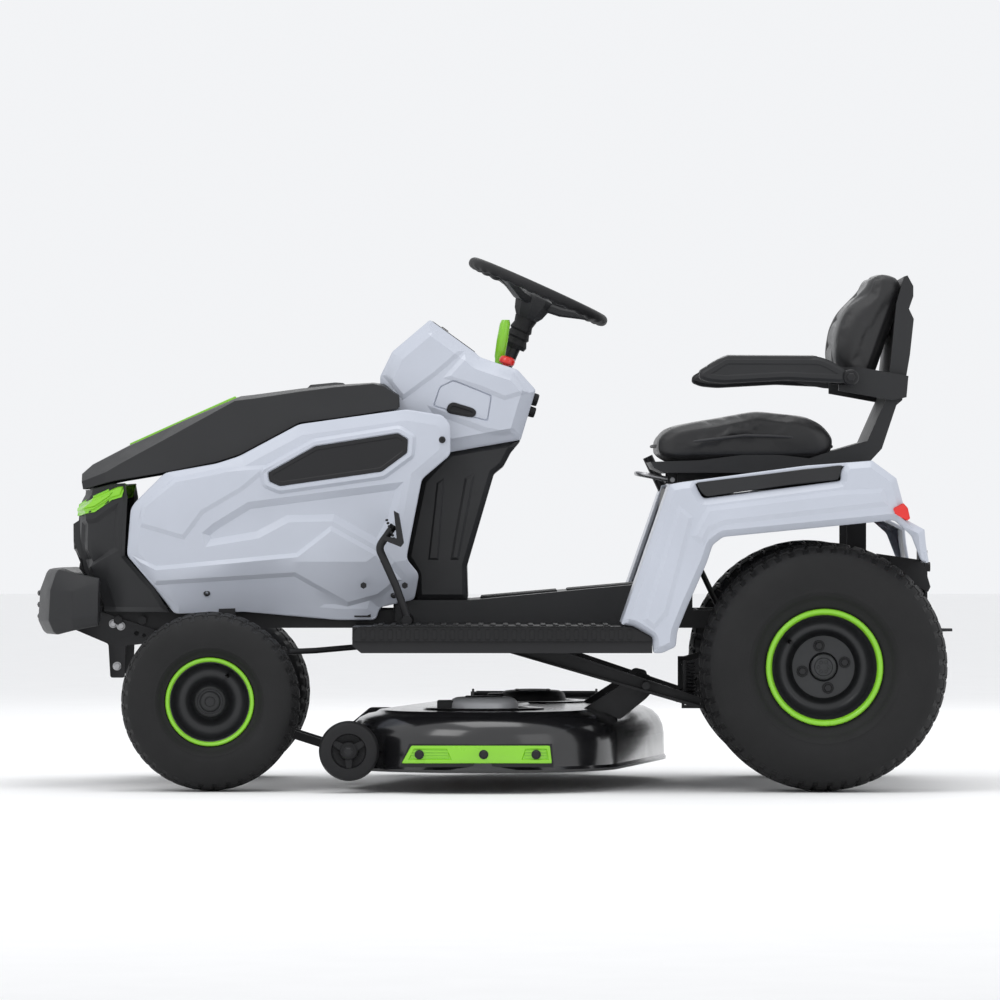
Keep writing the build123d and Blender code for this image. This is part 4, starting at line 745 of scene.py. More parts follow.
def nose():
    """The dark fascia with its grille, its green bezels and their lamps."""
    side = nose_starts[6] - nose_starts[2]
    far = nose_starts[6] - nose_starts[0] - 8
    right = [(0, 614), (170, 615), (side - 38, 627), (side, 629), (side + 6, 600), (side, 480),
             (side + 62, 412), (far, 362),
             (side - 40, 363), (0, 368)]
    outline = right + [(-u, v) for u, v in reversed(right[1:-1])]
    creases = [((start - NOSE_MIDDLE, 350), (start - NOSE_MIDDLE, 640)) for start in nose_starts[3:-3]]
    grille = [(-112, 470), (-96, 552), (96, 552), (112, 470), (70, 428), (-70, 428)]
    cheek = [(130, 470), (150, 548), (205, 556), (side - 14, 590), (side - 14, 490), (side - 60, 470),
             (150, 440)]
    other = [(-u, v) for u, v in reversed(cheek)]
    reliefs = [(inset(outline, 1), 6, 9), (grille, -12, 8), (cheek, 5, 9), (other, 5, 9)]
    made = panel(outline, nose_point, 4, reliefs, spacing=20, creases=creases)
    piece("fascia", made, "dark_plastic", "chassis", ("grille_fascia",), angle=20)
    slats = []
    for row in range(6):
        low = 440 + row * 17.5
        reach = interpolate(low, (428, 68), (470, 104), (552, 92)) - 3
        bar = [(-reach, low), (-reach + 4, low + 8), (reach - 4, low + 8), (reach, low)]
        slats.append(panel(bar, lambda u, v, h: nose_point(u, v, h + 1), 8, spacing=30, lip=1.5))
    piece("grille_slats", join(*slats), "dark_plastic", "chassis", angle=30)
    right_bezel = [(124, 585), (150, 592), (192, 603), (side - 22, 626), (side + 2, 628), (side - 8, 600),
                   (side - 30, 594),
                   (205, 569), (152, 562), (124, 561)]
    right_lens = [(132, 579), (152, 582), (194, 592), (side - 30, 611), (side - 36, 601), (206, 580),
                  (154, 570), (132, 569)]
    shown, lens = [], []
    for sign in (1, -1):
        bezel = [(sign * u, v) for u, v in right_bezel][::sign]
        glass = [(sign * u, v) for u, v in right_lens][::sign]
        shown.append(panel(bezel, lambda u, v, h: nose_point(u, v, h + 10), 9,
                           [(inset(bezel, 4), -3, 3), (glass, -3, 2)],
                           spacing=14, lip=1.5))
        lens.append(panel(inset(glass, 0.8), lambda u, v, h: nose_point(u, v, h + 8), 3, spacing=14,
                          lip=1.2))
    piece("lamp_bezels", join(*shown), "green_paint", "chassis", ("headlight_bezels",), angle=25)
    piece("head_lamps", join(*lens), "lens", "chassis", ("lamps",), angle=30)


def bumper():
    """A moulded bumper bent round the nose on its bolted hangers."""
    plan = [(-815, -262, 0.45), (-868, -254, 0.75), (-905, -236, 1), (-930, -150, 1), (-934, 0, 1),
            (-930, 150, 1), (-905, 236, 1), (-868, 254, 0.75), (-815, 262, 0.45)]
    section = [(0, 443), (6, 451), (22, 452), (44, 440), (44, 338), (30, 326), (14, 318), (2, 316),
               (-6, 322), (-17, 345), (-13, 408)]
    rows = []
    for index, (x, y, share) in enumerate(plan):
        before, after = plan[max(0, index - 1)], plan[min(len(plan) - 1, index + 1)]
        along = Vector((after[0] - before[0], after[1] - before[1])).normalized()
        inward = Vector((along.y, -along.x))
        middle = 384
        rows.append([at(x + inward.x * depth * share, y + inward.y * depth * share,
                        middle + (z - middle) * (0.5 + share / 2))
                     for depth, z in section])
    obj = piece("bumper", loft(rows), "dark_plastic", "chassis", ("front_bumper",), angle=20)
    soften(obj, 4, 18)
    strips = []
    for z, reach in ((400, 190), (376, 200), (352, 190)):
        rows = [[at(x - 17 + dx, y, z + dz) for dx, dz in ((-1, -5), (-3, 0), (-1, 5), (8, 5), (8, -5))]
                for x,
                y in ((-926, -reach * 0.75), (-934, -reach * 0.4), (-936, 0), (-934, reach * 0.4),
                      (-926, reach * 0.75))]
        strips.append(loft(rows))
    piece("bumper_ribs", join(*strips), "rubber", "chassis", angle=30)
    parts, heads = [], []
    for side in (-1, 1):
        plate = [(-880, 352), (-812, 362), (-693, 322), (-693, 300), (-764, 292), (-766, 226), (-796, 226),
                 (-800, 296), (-880, 330)]
        low, high = sorted((side * 172, side * 178))
        parts.append(slab(rounded(plate, 5, 3), along_y, low, high,
                          holes=[disc((-742, 318), 5, 20), (disc((-726, 314), 4, 20))]))
        brace = [(-880, 356), (-862, 372), (-812, 372), (-812, 362), (-880, 352)]
        parts.append(slab(brace, along_y, *sorted((side * 120, side * 178))))
        for x, z in ((-790, 338), (-774, 333), (-782, 250)):
            heads.append(bolt(at(x, side * 178, z), (0, side, 0), 13, 6, 9))
    piece("bumper_hangers", join(*parts), "black_steel", "chassis", angle=30)
    piece("hanger_bolts", join(*heads), "steel", "chassis", angle=30)


# ---------------------------------------------------------------- console and pedestal
SHELL_WALL = 4


def shell_sides(outline, half, chamfer, slope, reliefs, spacing):
    """A moulded body between two side walls, its top and ends bent along the outline."""
    shape = rounded(outline, 4, 3)
    parts = []
    for side in (-1, 1):
        lifts = [(inset(shape, 0.5), chamfer, slope), *reliefs]
        place = lambda u, v, h: at(u, side * (half - chamfer + h), v)
        parts.append(panel(shape, place, SHELL_WALL, lifts, spacing=spacing, lip=2))
    inner = inset(shape, SHELL_WALL)
    reach = half - chamfer - 1
    around = ((-reach, shape), (reach, shape), (reach, inner), (-reach, inner))
    parts.append(close_rows([[at(p.x, y, p.y) for p in line] for y, line in around]))
    return join(*parts)


CONSOLE = [(-237, 850), (-212, 901), (-134, 967), (-40, 899), (-31, 890), (3, 878), (47, 864), (85, 822),
           (54, 719), (-31, 704), (-93, 693), (-150, 700), (-236, 770)]
DOOR = [(-125, 789), (-112, 827), (-85, 840), (-8, 809), (-16, 759)]
PEDESTAL = [(-93, 694), (54, 718), (34, 694), (18, 664), (-2, 648), (-58, 456), (-56, 388), (-161, 388),
            (-162, 440), (-184, 476), (-151, 635), (-110, 680)]


def console():
    """The grey console over its dark pedestal, with the display, the knobs and the charge door."""
    brow = [(-232, 852), (-208, 897), (-136, 956), (-62, 902), (-120, 852), (-190, 800)]
    cheek = [(-62, 896), (-34, 884), (2, 872), (40, 858), (72, 816), (20, 800), (-30, 822), (-108, 846)]
    lower = [(-140, 790), (-20, 745), (50, 730), (40, 722), (-92, 700), (-140, 712)]
    reliefs = [(brow, 5, 9), (cheek, 4, 9), (lower, -4, 12), (rounded(inset(DOOR, -3), 6), -4, 2.5)]
    made = shell_sides(CONSOLE, 206, 20, 26, reliefs, spacing=20)
    piece("console_cover", made, "grey_plastic", "chassis", ("console_upper",), angle=16)
    ribs = [([(-138, 470), (-120, 630), (-104, 640), (-116, 470)], 3, 4),
            ([(-92, 470), (-62, 640), (-40, 650), (-74, 470)], 3, 5)]
    made = shell_sides(PEDESTAL, 182, 8, 10, ribs, spacing=26)
    piece("pedestal", made, "dark_plastic", "chassis", ("console_lower",), angle=16)
    face = [(-134, 967), (-40, 899)]
    place, starts = path_place(face, lambda x, z, v: at(x, v, z))
    length = starts[1]
    outline = [(8, -112), (length - 6, -112), (length - 2, -100), (length - 2, 100), (length - 6, 112),
               (8, 112), (3, 100), (3, -100)]
    screen = [(26, -70), (length - 28, -70), (length - 28, 70), (26, 70)]
    pads = [([(26, y - 11), (44, y - 11), (44, y + 11), (26, y + 11)], 2, 1.5) for y in (-92, 92)]
    made = panel(rounded(outline, 4, 3), lambda u, v, h: place(u, v, h + 3), 7,
                 [(rounded(screen, 4, 3), -1.5, 1), *pads], spacing=26)
    piece("display", made, "screen", "chassis", ("dash_display",), angle=25)
    knobs = []
    for x, z, radius in ((82, 806, 12), (76, 780, 10)):
        for y in (-120, 120):
            axis = Vector((0.96, 0, -0.28))
            rows = turned(at(x - 4, y, z), axis,
                          [(0, radius), (11, radius * 0.94), (13, radius * 0.8), (13.5, radius * 0.4)], 36,
                          lambda turn, offset, size: -0.7 * (cos(turn * 12) > 0.2) * (offset < 12))
            knobs.append(loft(rows))
    piece("dash_knobs", join(*knobs), "rubber", "chassis", angle=35)


def charge_door():
    """The flush door with its recessed lozenge latch."""
    shape = rounded(DOOR, 6, 3)
    latch = rounded([(-101, 778), (-96, 792), (-86, 797), (-44, 784), (-37, 777), (-40, 767), (-50, 764),
                     (-94, 772)], 5, 3)
    place = lambda u, v, h: at(u, -(205.5 + h), v)
    made = panel(shape, place, 3, [(latch, -2, 2)], spacing=20, lip=1.2)
    piece("charge_cover", made, "grey_plastic", "charge_door", ("charge_door",), angle=18)
    made = panel(inset(latch, 0.6), lambda u, v, h: at(u, -(209.5 + h), v), 6, [(inset(latch, 7), -1.5, 2)],
                 spacing=16, lip=3)
    piece("charge_latch", made, "rubber", "charge_door", angle=25)


nose()
bumper()
console()
charge_door()


# ---------------------------------------------------------------- fenders, floor and rear
FENDER_TOP = [(257, 342), (355, 625), (379, 630), (634, 664), (767, 674), (816, 638), (832, 578),
              (834, 555), (873, 534), (876, 502), (882, 467)]
FENDER_SIDE = [(257, 342), (355, 625), (379, 630), (406, 633), (414, 612), (424, 597), (703, 633),
               (702, 652), (714, 670), (767, 674), (816, 638), (832, 578), (834, 555), (873, 534),
               (876, 502), (882, 467), (866, 470), (846, 522), (811, 553), (464, 519), (443, 503),
               (431, 467), (392, 379), (371, 327), (368, 296), (340, 283), (322, 283), (319, 314),
               (283, 337)]
FENDER_OUT = 480
FENDER_IN = 236
CUP_X, CUP_Y = 448, 392


def fender(name, side):
    """A faceted fender: its side, its bent top with the tray's well, and the lever slot on the right."""
    leg = [(300, 350), (372, 585), (404, 560), (376, 452), (352, 362), (324, 330)]
    flank = [(430, 580), (700, 614), (790, 618), (800, 582), (470, 544), (440, 532), (424, 500),
             (398, 520)]
    shape = rounded(FENDER_SIDE, 6, 3)
    reliefs = [(inset(shape, 0.5), 12, 13), (leg, 4, 9), (flank, 4, 10)]
    skin = panel(shape, lambda u, v, h: at(u, side * (FENDER_OUT - 12 + h), v), 4, reliefs, spacing=22)
    place, starts = path_place(FENDER_TOP, lambda x, z, v: at(x, v, z))
    reach = starts[-1]
    tray = [(starts[2] + 30, 302), (starts[3] + 76, 302), (starts[3] + 72, 470), (starts[2] + 34, 470)]
    outline = [(0.5, FENDER_IN), (reach - 0.5, FENDER_IN), (reach - 0.5, 468.6), (0.5, 468.6)]
    holes = [[Vector((u, min(v, 464))) for u, v in tray]]
    if side > 0:
        holes.append(rounded([(starts[2] - 36, 243), (starts[3] + 108, 243), (starts[3] + 108, 269),
                              (starts[2] - 36, 269)], 6, 3))
    creases = [((start, FENDER_IN - 2), (start, 471)) for start in starts[1:-1]]
    top = panel(outline, lambda u, v, h: place(u, side * v, h), 4, holes=holes, spacing=30, creases=creases)
    piece(f"fender_cover_{name}", join(skin, top), "grey_plastic", "chassis", (f"fender_{name}",), angle=16)
    cup_tray(name, side)
    tail_lamp(name, side)


def top_height(x):
    """The fender top's height at an x."""
    return interpolate(x, *FENDER_TOP[1:5])


def cup_tray(name, side):
    """The dark tray let into the fender's top, with a cup well and a shallow oval dish."""
    deep = 170

    def place(u, v, h):
        if v <= deep:
            return at(u, side * (302 + v), top_height(u) - 5 + h)
        return at(u, side * (302 + deep + h), top_height(u) - 5 - (v - deep))

    outline = rounded([(408, 1), (708, 1), (706, deep), (698, deep + 29), (428, deep + 31),
                       (415, deep + 14), (410, deep)], 7, 3)
    well = disc((CUP_X, CUP_Y - 302), 38, 40)
    dish = [(600 + 70 * cos(2 * pi * k / 40), CUP_Y - 302 + 38 * sin(2 * pi * k / 40)) for k in range(40)]
    rim = disc((CUP_X, CUP_Y - 302), 48, 40)
    made = panel(outline, place, 3, [(rim, 3, 4), (dish, -16, 12)], [well], 20,
                 creases=[((412, deep), (700, deep))])
    cup = [(1, 38), (-3, 38), (-60, 34), (-66, 30), (-67, 0.5), (-70, 0.5), (-70, 32), (-62, 38), (-3, 41)]
    sleeve = close_rows(turned(at(CUP_X, side * CUP_Y, top_height(CUP_X) - 4), (0, 0, 1), cup, 48))
    obj = piece(f"cup_tray_{name}", join(made, sleeve), "dark_plastic", "chassis", angle=24)
    if side < 0:
        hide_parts("cup_holders")


def tail_lamp(name, side):
    """A red lamp let into the fender's rear corner."""
    shape = rounded([(808, 577), (829, 588), (838, 578), (843, 556), (836, 552), (812, 566)], 3, 3)
    low, high = sorted((side * 418, side * 483))
    piece(f"tail_lamp_{name}", slab(shape, along_y, low, high, lip=2), "red_plastic", "chassis", angle=30)


def floor_mats():
    """Ribbed rubber mats on the boards and the tunnel, with the boards' rubber edges."""
    for name, side in SIDES:
        ribs = [base_block(-250, 236, *sorted((side * 192, side * 456)), 336, 338.2)]
        for row in range(19):
            x = -238 + row * 25.5
            ribs.append(base_block(x, x + 11, *sorted((side * 202, side * 446)), 338, 341))
        piece(f"board_mat_{name}", join(*ribs), "rubber", "chassis", angle=30)
        edge = [(-289, 318), (-286, 330), (-276, 337), (276, 337), (300, 326), (320, 315), (320, 306),
                (-289, 306)]
        low, high = sorted((side * 462, side * 475))
        grip = slab(rounded(edge, 4, 3), along_y, low, high, lip=3)
        studs = [base_block(-270 + 18 * k, -262 + 18 * k, *sorted((side * 474, side * 476.5)), 311, 331)
                 for k in range(31)]
        obj = piece(f"board_edge_{name}", join(grip, *studs), "rubber", "chassis", angle=30)
    pads = []
    for low_x, high_x, low_z, high_z in ((-30, 130, 391, 402), (150, 296, 404, 421)):
        for row in range(7):
            y = -96 + row * 32
            corners = [(low_x, y - 10), (high_x, y - 10), (high_x, y + 10), (low_x, y + 10)]
            place = lambda u, v, h: at(u, v, interpolate(u, (-49, 389.5), (322, 422)) + 2.5 + h)
            pads.append(panel(rounded(corners, 5, 3), place, 6, spacing=60))
    piece("tunnel_grips", join(*pads), "rubber", "chassis", angle=30)


def base_block(low_x, high_x, low_y, high_y, low_z, high_z):
    """A flat-sided rib with chamfered top edges."""
    cut = min(1.2, (high_z - low_z) * 0.4)
    rows = []
    for z, draw in ((low_z, 0), (high_z - cut, 0), (high_z, cut)):
        rows.append([at(x, y, z) for x, y in ((low_x + draw, low_y + draw), (high_x - draw, low_y + draw),
                                              (high_x - draw, high_y - draw),
                                              (low_x + draw, high_y - draw))])
    return loft(rows)


for name, side in SIDES:
    fender(name, side)
floor_mats()


# ---------------------------------------------------------------- mower deck
DECK_LOBES = ((-22.5, -265), (80.5, 265))
DECK_FACE = 163.5
GAUGE_AXLES = ((-1, -295.5), (1, -192.5))
GAUGE_Z = 85
DECK_PROFILE = [(280, 42), (284, 43), (285, 48), (281, 54), (280, 98), (277, 116), (269, 133), (255, 147),
                (238, 155), (222, 158), (214, 163.5), (70, 164)]
DECK_INNER = [(70, 160), (212, 159.5), (220, 154), (236, 151), (252, 143), (265, 130), (273, 115),
              (276, 98), (276, 42)]


def stadium(radius, z, steps=30):
    """The level outline round both lobes of the deck."""
    (ax, ay), (bx, by) = DECK_LOBES
    lean = atan2(by - ay, bx - ax)
    row = [at(ax + radius * cos(lean + pi / 2 + pi * k / steps),
              ay + radius * sin(lean + pi / 2 + pi * k / steps), z)
           for k in range(steps + 1)]
    return row + [at(bx + radius * cos(lean - pi / 2 + pi * k / steps),
                     by + radius * sin(lean - pi / 2 + pi * k / steps), z)
                  for k in range(steps + 1)]


def carve(obj, cutter):
    """Takes a closed shape out of a piece for good."""
    tool = mesh_object("cutter", cutter)
    cut = obj.modifiers.new("cut", "BOOLEAN")
    cut.object = tool
    cut.operation = "DIFFERENCE"
    cut.solver = "EXACT"
    seen = obj.evaluated_get(bpy.context.evaluated_depsgraph_get())
    result = bpy.data.meshes.new_from_object(seen)
    obj.modifiers.remove(cut)
    old = obj.data
    obj.data = result
    bpy.data.meshes.remove(old)
    bpy.data.objects.remove(tool)
    obj.data.shade_smooth()
    obj.data.set_sharp_from_angle(angle=radians(32))


def deck():
    """The pressed deck, its skirt open at the chute, with its trim, brackets and stiffeners."""
    rows = [stadium(radius, z) for radius, z in DECK_INNER + DECK_PROFILE]
    made = loft(rows)
    shell = piece("deck_hull", made, "deck_paint", "deck", ("deck_shell",), angle=32)
    carve(shell, base_block(-38, 216, 470, 640, 30, 126))
    parts = []
    for x, y in DECK_LOBES:
        parts.append(close_rows(turned(at(x, y, 163), (0, 0, 1),
                                       [(0, 128), (4, 124), (5, 118), (5, 100), (4, 94), (0, 90)], 64)))
    place = lambda u, v, h: at(u, v, DECK_FACE + h)
    parts.append(panel(rounded([(-30, -120), (32, -126), (96, 110), (34, 128)], 16, 5), place, 2,
                       [(rounded([(-14, -104), (24, -108), (78, 96), (42, 108)], 12, 5), 4, 6)],
                       spacing=40))
    piece("deck_pressings", join(*parts), "deck_paint", "deck", angle=30)
    deck_trim()
    deck_brackets()
    for name, side, x, y in (("left", -1, *DECK_LOBES[0]), ("right", 1, *DECK_LOBES[1])):
        motor(name, x, y)


def deck_trim():
    """The green strip bolted along the left skirt, with its ribs."""
    face = -548
    strip = [(-188, 62), (-168, 98), (112, 98), (116, 62)]
    place = lambda u, v, h: at(u, face - h, v)
    reliefs = [([(-175, 69), (-163, 92), (-96, 92), (-86, 69)], -2.5, 2),
               ([(54, 69), (62, 92), (106, 92), (110, 69)], -2.5, 2)]
    back = panel([(-192, 54), (-172, 101), (116, 101), (120, 54)], lambda u, v, h: at(u, face + 3 - h, v),
                 12, spacing=60)
    piece("deck_trim_base", back, "black_steel", "deck", angle=30)
    piece("deck_trim", panel(rounded(strip, 3, 3), place, 5, reliefs, spacing=30), "green_paint", "deck",
          angle=25)
    ribs, heads = [], []
    for low, high in ((-170, -92), (60, 106)):
        for z in (73.5, 79, 84.5):
            bar = [(low, z), (low + 2, z + 3), (high - 2, z + 3), (high, z)]
            ribs.append(panel(bar, lambda u, v, h: place(u, v, h - 0.6), 2, spacing=60, lip=0.6))
    piece("deck_trim_ribs", join(*ribs), "green_paint", "deck", angle=30)
    for x in (-152, -22, 84):
        heads.append(bolt(place(x, 80, -0.4), (0, -1, 0), 13, 6, 9.5))
    piece("deck_trim_bolts", join(*heads), "black_steel", "deck", angle=30)


def motor(name, x, y):
    """A blade motor: a smooth domed can on its flange, with its terminal cover."""
    base = at(x, y, DECK_FACE)
    can = [(-1, 28), (-1, 72), (3, 72), (3.6, 70.6), (12, 70), (17, 68), (21.5, 64), (24.5, 57),
           (25.5, 48), (25.5, 20)]
    body = close_rows(turned(base, (0, 0, 1), [*can, (20, 14), (2, 14)], 96))
    # The right motor, on the side away from the camera, takes the dark plastic finish where the left one is
    # silver: painted shade on a copy of the same motor.
    piece(f"motor_{name}", body, "silver" if x < 0 else "dark_plastic", "deck",
          ("deck_motors",) if x < 0 else (), angle=30)
    parts = [loft(turned(at(x, y, 187), (0, 0, 1), [(0, 40), (3, 39), (4, 34), (4, 6), (4, 1)], 48))]
    for k in range(4):
        turn = radians(45 + 90 * k)
        parts.append(bolt(at(x + 46 * cos(turn), y + 46 * sin(turn), 188.4), (0, 0, 1), 7, 2.4, 5))
    box = [(x - 96, y - 22), (x - 54, y - 28), (x - 54, y + 28), (x - 96, y + 22)]
    parts.append(panel(rounded(box, 6, 3), lambda u, v, h: at(u, v, 182 + h), 18, spacing=60, lip=3))
    piece(f"motor_cap_{name}", join(*parts), "dark_plastic", "deck", angle=30)


def deck_brackets():
    """The lift arms' hangers, the front link's clevis, the gauge wheels' arms and the chute's ears."""
    parts, heads = [], []
    pin_x, pin_z = 311, 212
    for side in (-1, 1):
        for y in (206, 218):
            plate = [(174, 157), (259, 212), (298, 238), (322, 232), (327, 200), (313, 184), (258, 140),
                     (238, 150)]
            low, high = sorted((side * (y - 1.5), side * (y + 1.5)))
            parts.append(slab(rounded(plate, 6, 3), along_y, low, high))
        heads.append(bolt(at(pin_x, side * 220, pin_z), (0, side, 0), 15, 7, 11))
        parts.append(tube([at(pin_x, side * 204, pin_z), at(pin_x, side * 222, pin_z)], 5))
    for y in (-66, -59, 59, 66):
        low, high = sorted((y - 1.5, y + 1.5))
        plate = [(-344, 64), (-316, 62), (-262, 84), (-216, 110), (-216, 158), (-262, 158), (-344, 90)]
        parts.append(slab(rounded(plate, 5, 3), along_y, low, high))
    for side in (-1, 1):
        parts.append(tube([at(-330, side * 56, 76), at(-330, side * 70, 76)], 5))
        heads.append(bolt(at(-330, side * 67.5, 76), (0, side, 0), 13, 6, 9))
    for side, x in GAUGE_AXLES:
        arm = [(x - 16, 78), (x - 10, 100), (x + 96, 112), (x + 150, 112), (x + 150, 70), (x + 70, 66),
               (x + 4, 70)]
        low, high = sorted((side * 429.5, side * 434))
        parts.append(slab(rounded(arm, 8, 4), along_y, low, high))
        parts.append(tube([at(x, side * 429, GAUGE_Z), at(x, side * 524, GAUGE_Z)], 6))
        parts.append(bolt(at(x, side * 524, GAUGE_Z), (0, side, 0), 15, 7, 10))
    for x in (-52, 216):
        ear = [(520, 120), (562, 160), (562, 180), (548, 184), (530, 160), (500, 150)]
        shape = [Vector(point) for point in ear]
        parts.append(panel(shape, lambda u, v, h: at(x + 7 + h, u, v), 4, spacing=60, lip=1))
    piece("deck_brackets", join(*parts), "black_steel", "deck", angle=30)
    piece("deck_bolts", join(*heads), "steel", "deck", angle=30)


def gauge_wheel(name, side):
    """A moulded gauge wheel: a crowned tread, three broad spokes and a hub."""
    low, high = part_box(f"gauge_wheel_{name}")
    centre = (low + high) / 2
    tread = [(-24, 36), (-24, 52), (-21, 57), (-14, 60), (-5, 61), (5, 61), (14, 60), (21, 57), (24, 52),
             (24, 36), (19, 34), (12, 33), (9, 20), (20, 18), (23, 15), (23, 6.6), (-23, 6.6), (-23, 15),
             (-12, 18), (-6, 33), (-16, 34)]
    parts = [close_rows(turned(centre, (0, side, 0), tread, 72))]
    for spoke in range(3):
        angle = radians(120 * spoke + 30)
        out, across = Vector((cos(angle), 0, sin(angle))), Vector((-sin(angle), 0, cos(angle)))
        rows = []
        for reach, wide, deep in ((13, 8, 19), (36, 5, 20)):
            spot = centre + out * reach * MM
            rows.append([spot + (across * a + Vector((0, side, 0)) * b) * MM
                         for a, b in ((-wide, 4), (-wide, deep), (wide, deep), (wide, 4))])
        parts.append(loft(rows))
    piece(f"gauge_tread_{name}", join(*parts), "rubber", f"gauge_wheel_{name}", (f"gauge_wheel_{name}",),
          angle=32)


deck()
for name, side in SIDES:
    gauge_wheel(name, side)


# ---------------------------------------------------------------- seat
CUSHION = [(328, 690), (329, 722), (350, 737), (400, 744), (440, 749), (539, 767), (644, 756), (690, 740),
           (708, 720), (704, 694), (690, 683), (616, 680), (521, 680), (421, 680), (342, 681)]
BACK = [(835, 1062), (800, 1068), (783, 1052), (777, 1034), (729, 985), (709, 942), (704, 894), (706, 872),
        (733, 828), (764, 814)]


# The cushions' cloth: voxel size in metres, cap on movement in mm.
VOXEL = 0.0055
PRESSURE = 4
SWELL_FRAMES = 20
SWELL_CAP = 8


def swell(name, made, stands_for, pinch):
    """A cushion blown up by cloth simulation from a slightly smaller closed shape."""
    obj = mesh_object(name, made)
    remesh = obj.modifiers.new("remesh", "REMESH")
    remesh.mode = "VOXEL"
    remesh.voxel_size = VOXEL
    flatten(obj)
    start = np.array([vert.co for vert in obj.data.vertices])
    cloth = obj.modifiers.new("cloth", "CLOTH")
    cloth.settings.use_pressure = True
    cloth.settings.uniform_pressure_force = PRESSURE
    cloth.settings.effector_weights.gravity = 0
    cloth.settings.quality = 4
    cloth.collision_settings.use_collision = False
    for step in range(1, SWELL_FRAMES + 1):
        scene.frame_set(step)
    flatten(obj)
    scene.frame_set(1)
    end = np.array([vert.co for vert in obj.data.vertices])
    move = end - start
    length = np.linalg.norm(move, axis=1, keepdims=True)
    move *= np.minimum(1, SWELL_CAP * MM / np.maximum(length, 1e-9))
    for vert, place in zip(obj.data.vertices, start + move):
        vert.co = place
    for vert in obj.data.vertices:
        vert.co = pinch(vert.co.copy())
    smooth = obj.modifiers.new("smooth", "SUBSURF")
    smooth.levels = smooth.render_levels = 1
    flatten(obj)
    obj.data.materials.append(MATERIALS["vinyl"])
    obj.data.shade_smooth()
    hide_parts(*stands_for)
    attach(obj, "seat")
    return obj


def flatten(obj):
    """Makes a piece's modifiers part of its mesh."""
    seen = obj.evaluated_get(bpy.context.evaluated_depsgraph_get())
    result = bpy.data.meshes.new_from_object(seen)
    obj.modifiers.clear()
    old = obj.data
    obj.data = result
    bpy.data.meshes.remove(old)


def pad_rows(outline, half, draw, stations):
    """A cushion's blank: side-view outlines across the seat that shrink towards its sides."""
    shape = rounded(outline, 16, 3)
    middle = sum(shape, Vector((0, 0))) / len(shape)
    rows = []
    for share, size in stations:
        line = [middle + (point - middle) * size for point in shape] if draw else shape
        rows.append([at(p.x, share * half, p.y) for p in line])
    return loft(rows)


STATIONS = [(-1, 0.82), (-0.975, 0.91), (-0.93, 0.97), (-0.8, 0.995), (-0.4, 1), (0, 1), (0.4, 1),
            (0.8, 0.995), (0.93, 0.97), (0.975, 0.91), (1, 0.82)]


def seat_channels(spot):
    """Presses the sewn channels and the centre dip into the seat cushion."""
    x, y, z = spot.x / MM, (spot.y - MID) / MM, spot.z / MM
    if z < 716:
        return spot
    crown = 3.5 * interpolate(x, (360, 0), (430, 1), (640, 1), (690, 0))
    side = abs(y)
    groove = 0
    for line in (398, 470, 546, 622):
        bend = line + 16 * (side / 150) ** 2
        if side < 150:
            groove += 4.2 * np.exp(-((x - bend) / 5.5) ** 2)
    edge = interpolate(x, (330, 120), (420, 150), (640, 150), (700, 130))
    groove += 5.5 * np.exp(-((side - edge) / 6) ** 2) * interpolate(x, (352, 0), (380, 1), (660, 1),
                                                                    (690, 0))
    dip = 7 * max(0, 1 - (side / 150) ** 2) * interpolate(x, (340, 0), (520, 1), (690, 0.6))
    spot.z -= (groove + dip - crown) * MM * min(1, (z - 716) / 12)
    return spot


def back_channels(spot):
    """Presses the sewn channels and the lumbar hollow into the back cushion's front."""
    x, y, z = spot.x / MM, (spot.y - MID) / MM, spot.z / MM
    front = interpolate(z, (814, 764), (828, 733), (872, 706), (894, 704), (942, 709), (985, 729),
                        (1034, 777), (1062, 800))
    if x > front + 40:
        return spot
    share = max(0, 1 - (x - front) / 40)
    side = abs(y)
    groove = 0
    for line in (858, 912, 966, 1016):
        if side < 128:
            groove += 4.5 * np.exp(-((z - line - 10 * (side / 128) ** 2) / 5.5) ** 2)
    groove += 6 * np.exp(-((side - 130) / 6) ** 2) * interpolate(z, (826, 0), (850, 1), (1030, 1),
                                                                 (1048, 0))
    groove += 8 * max(0, 1 - (side / 130) ** 2) * interpolate(z, (830, 0), (930, 1), (1040, 0.3))
    spot.x += groove * share * MM
    return spot


def seat():
    """Vinyl cushions on the moulded shell, with their piping."""
    swell("seat_pad", pad_rows(CUSHION, 226, True, STATIONS), ("seat_cushion",), seat_channels)
    swell("back_pad", pad_rows(BACK + [(846, 1040)], 203, True, STATIONS), ("back_cushion",),
          back_channels)
    ring = []
    for step in range(64):
        turn = 2 * pi * step / 64
        squash = lambda value, power: abs(value) ** power * (1 if value > 0 else -1)
        x = 516 + 187 * squash(cos(turn), 0.55)
        y = 224 * squash(sin(turn), 0.5)
        z = interpolate(x, (326, 706), (421, 716), (521, 728), (616, 724), (708, 704))
        ring.append(at(x, y, z))
    piece("seat_piping", tube(ring, 3.2, 10, closed=True), "seam", "seat", angle=60)


seat()


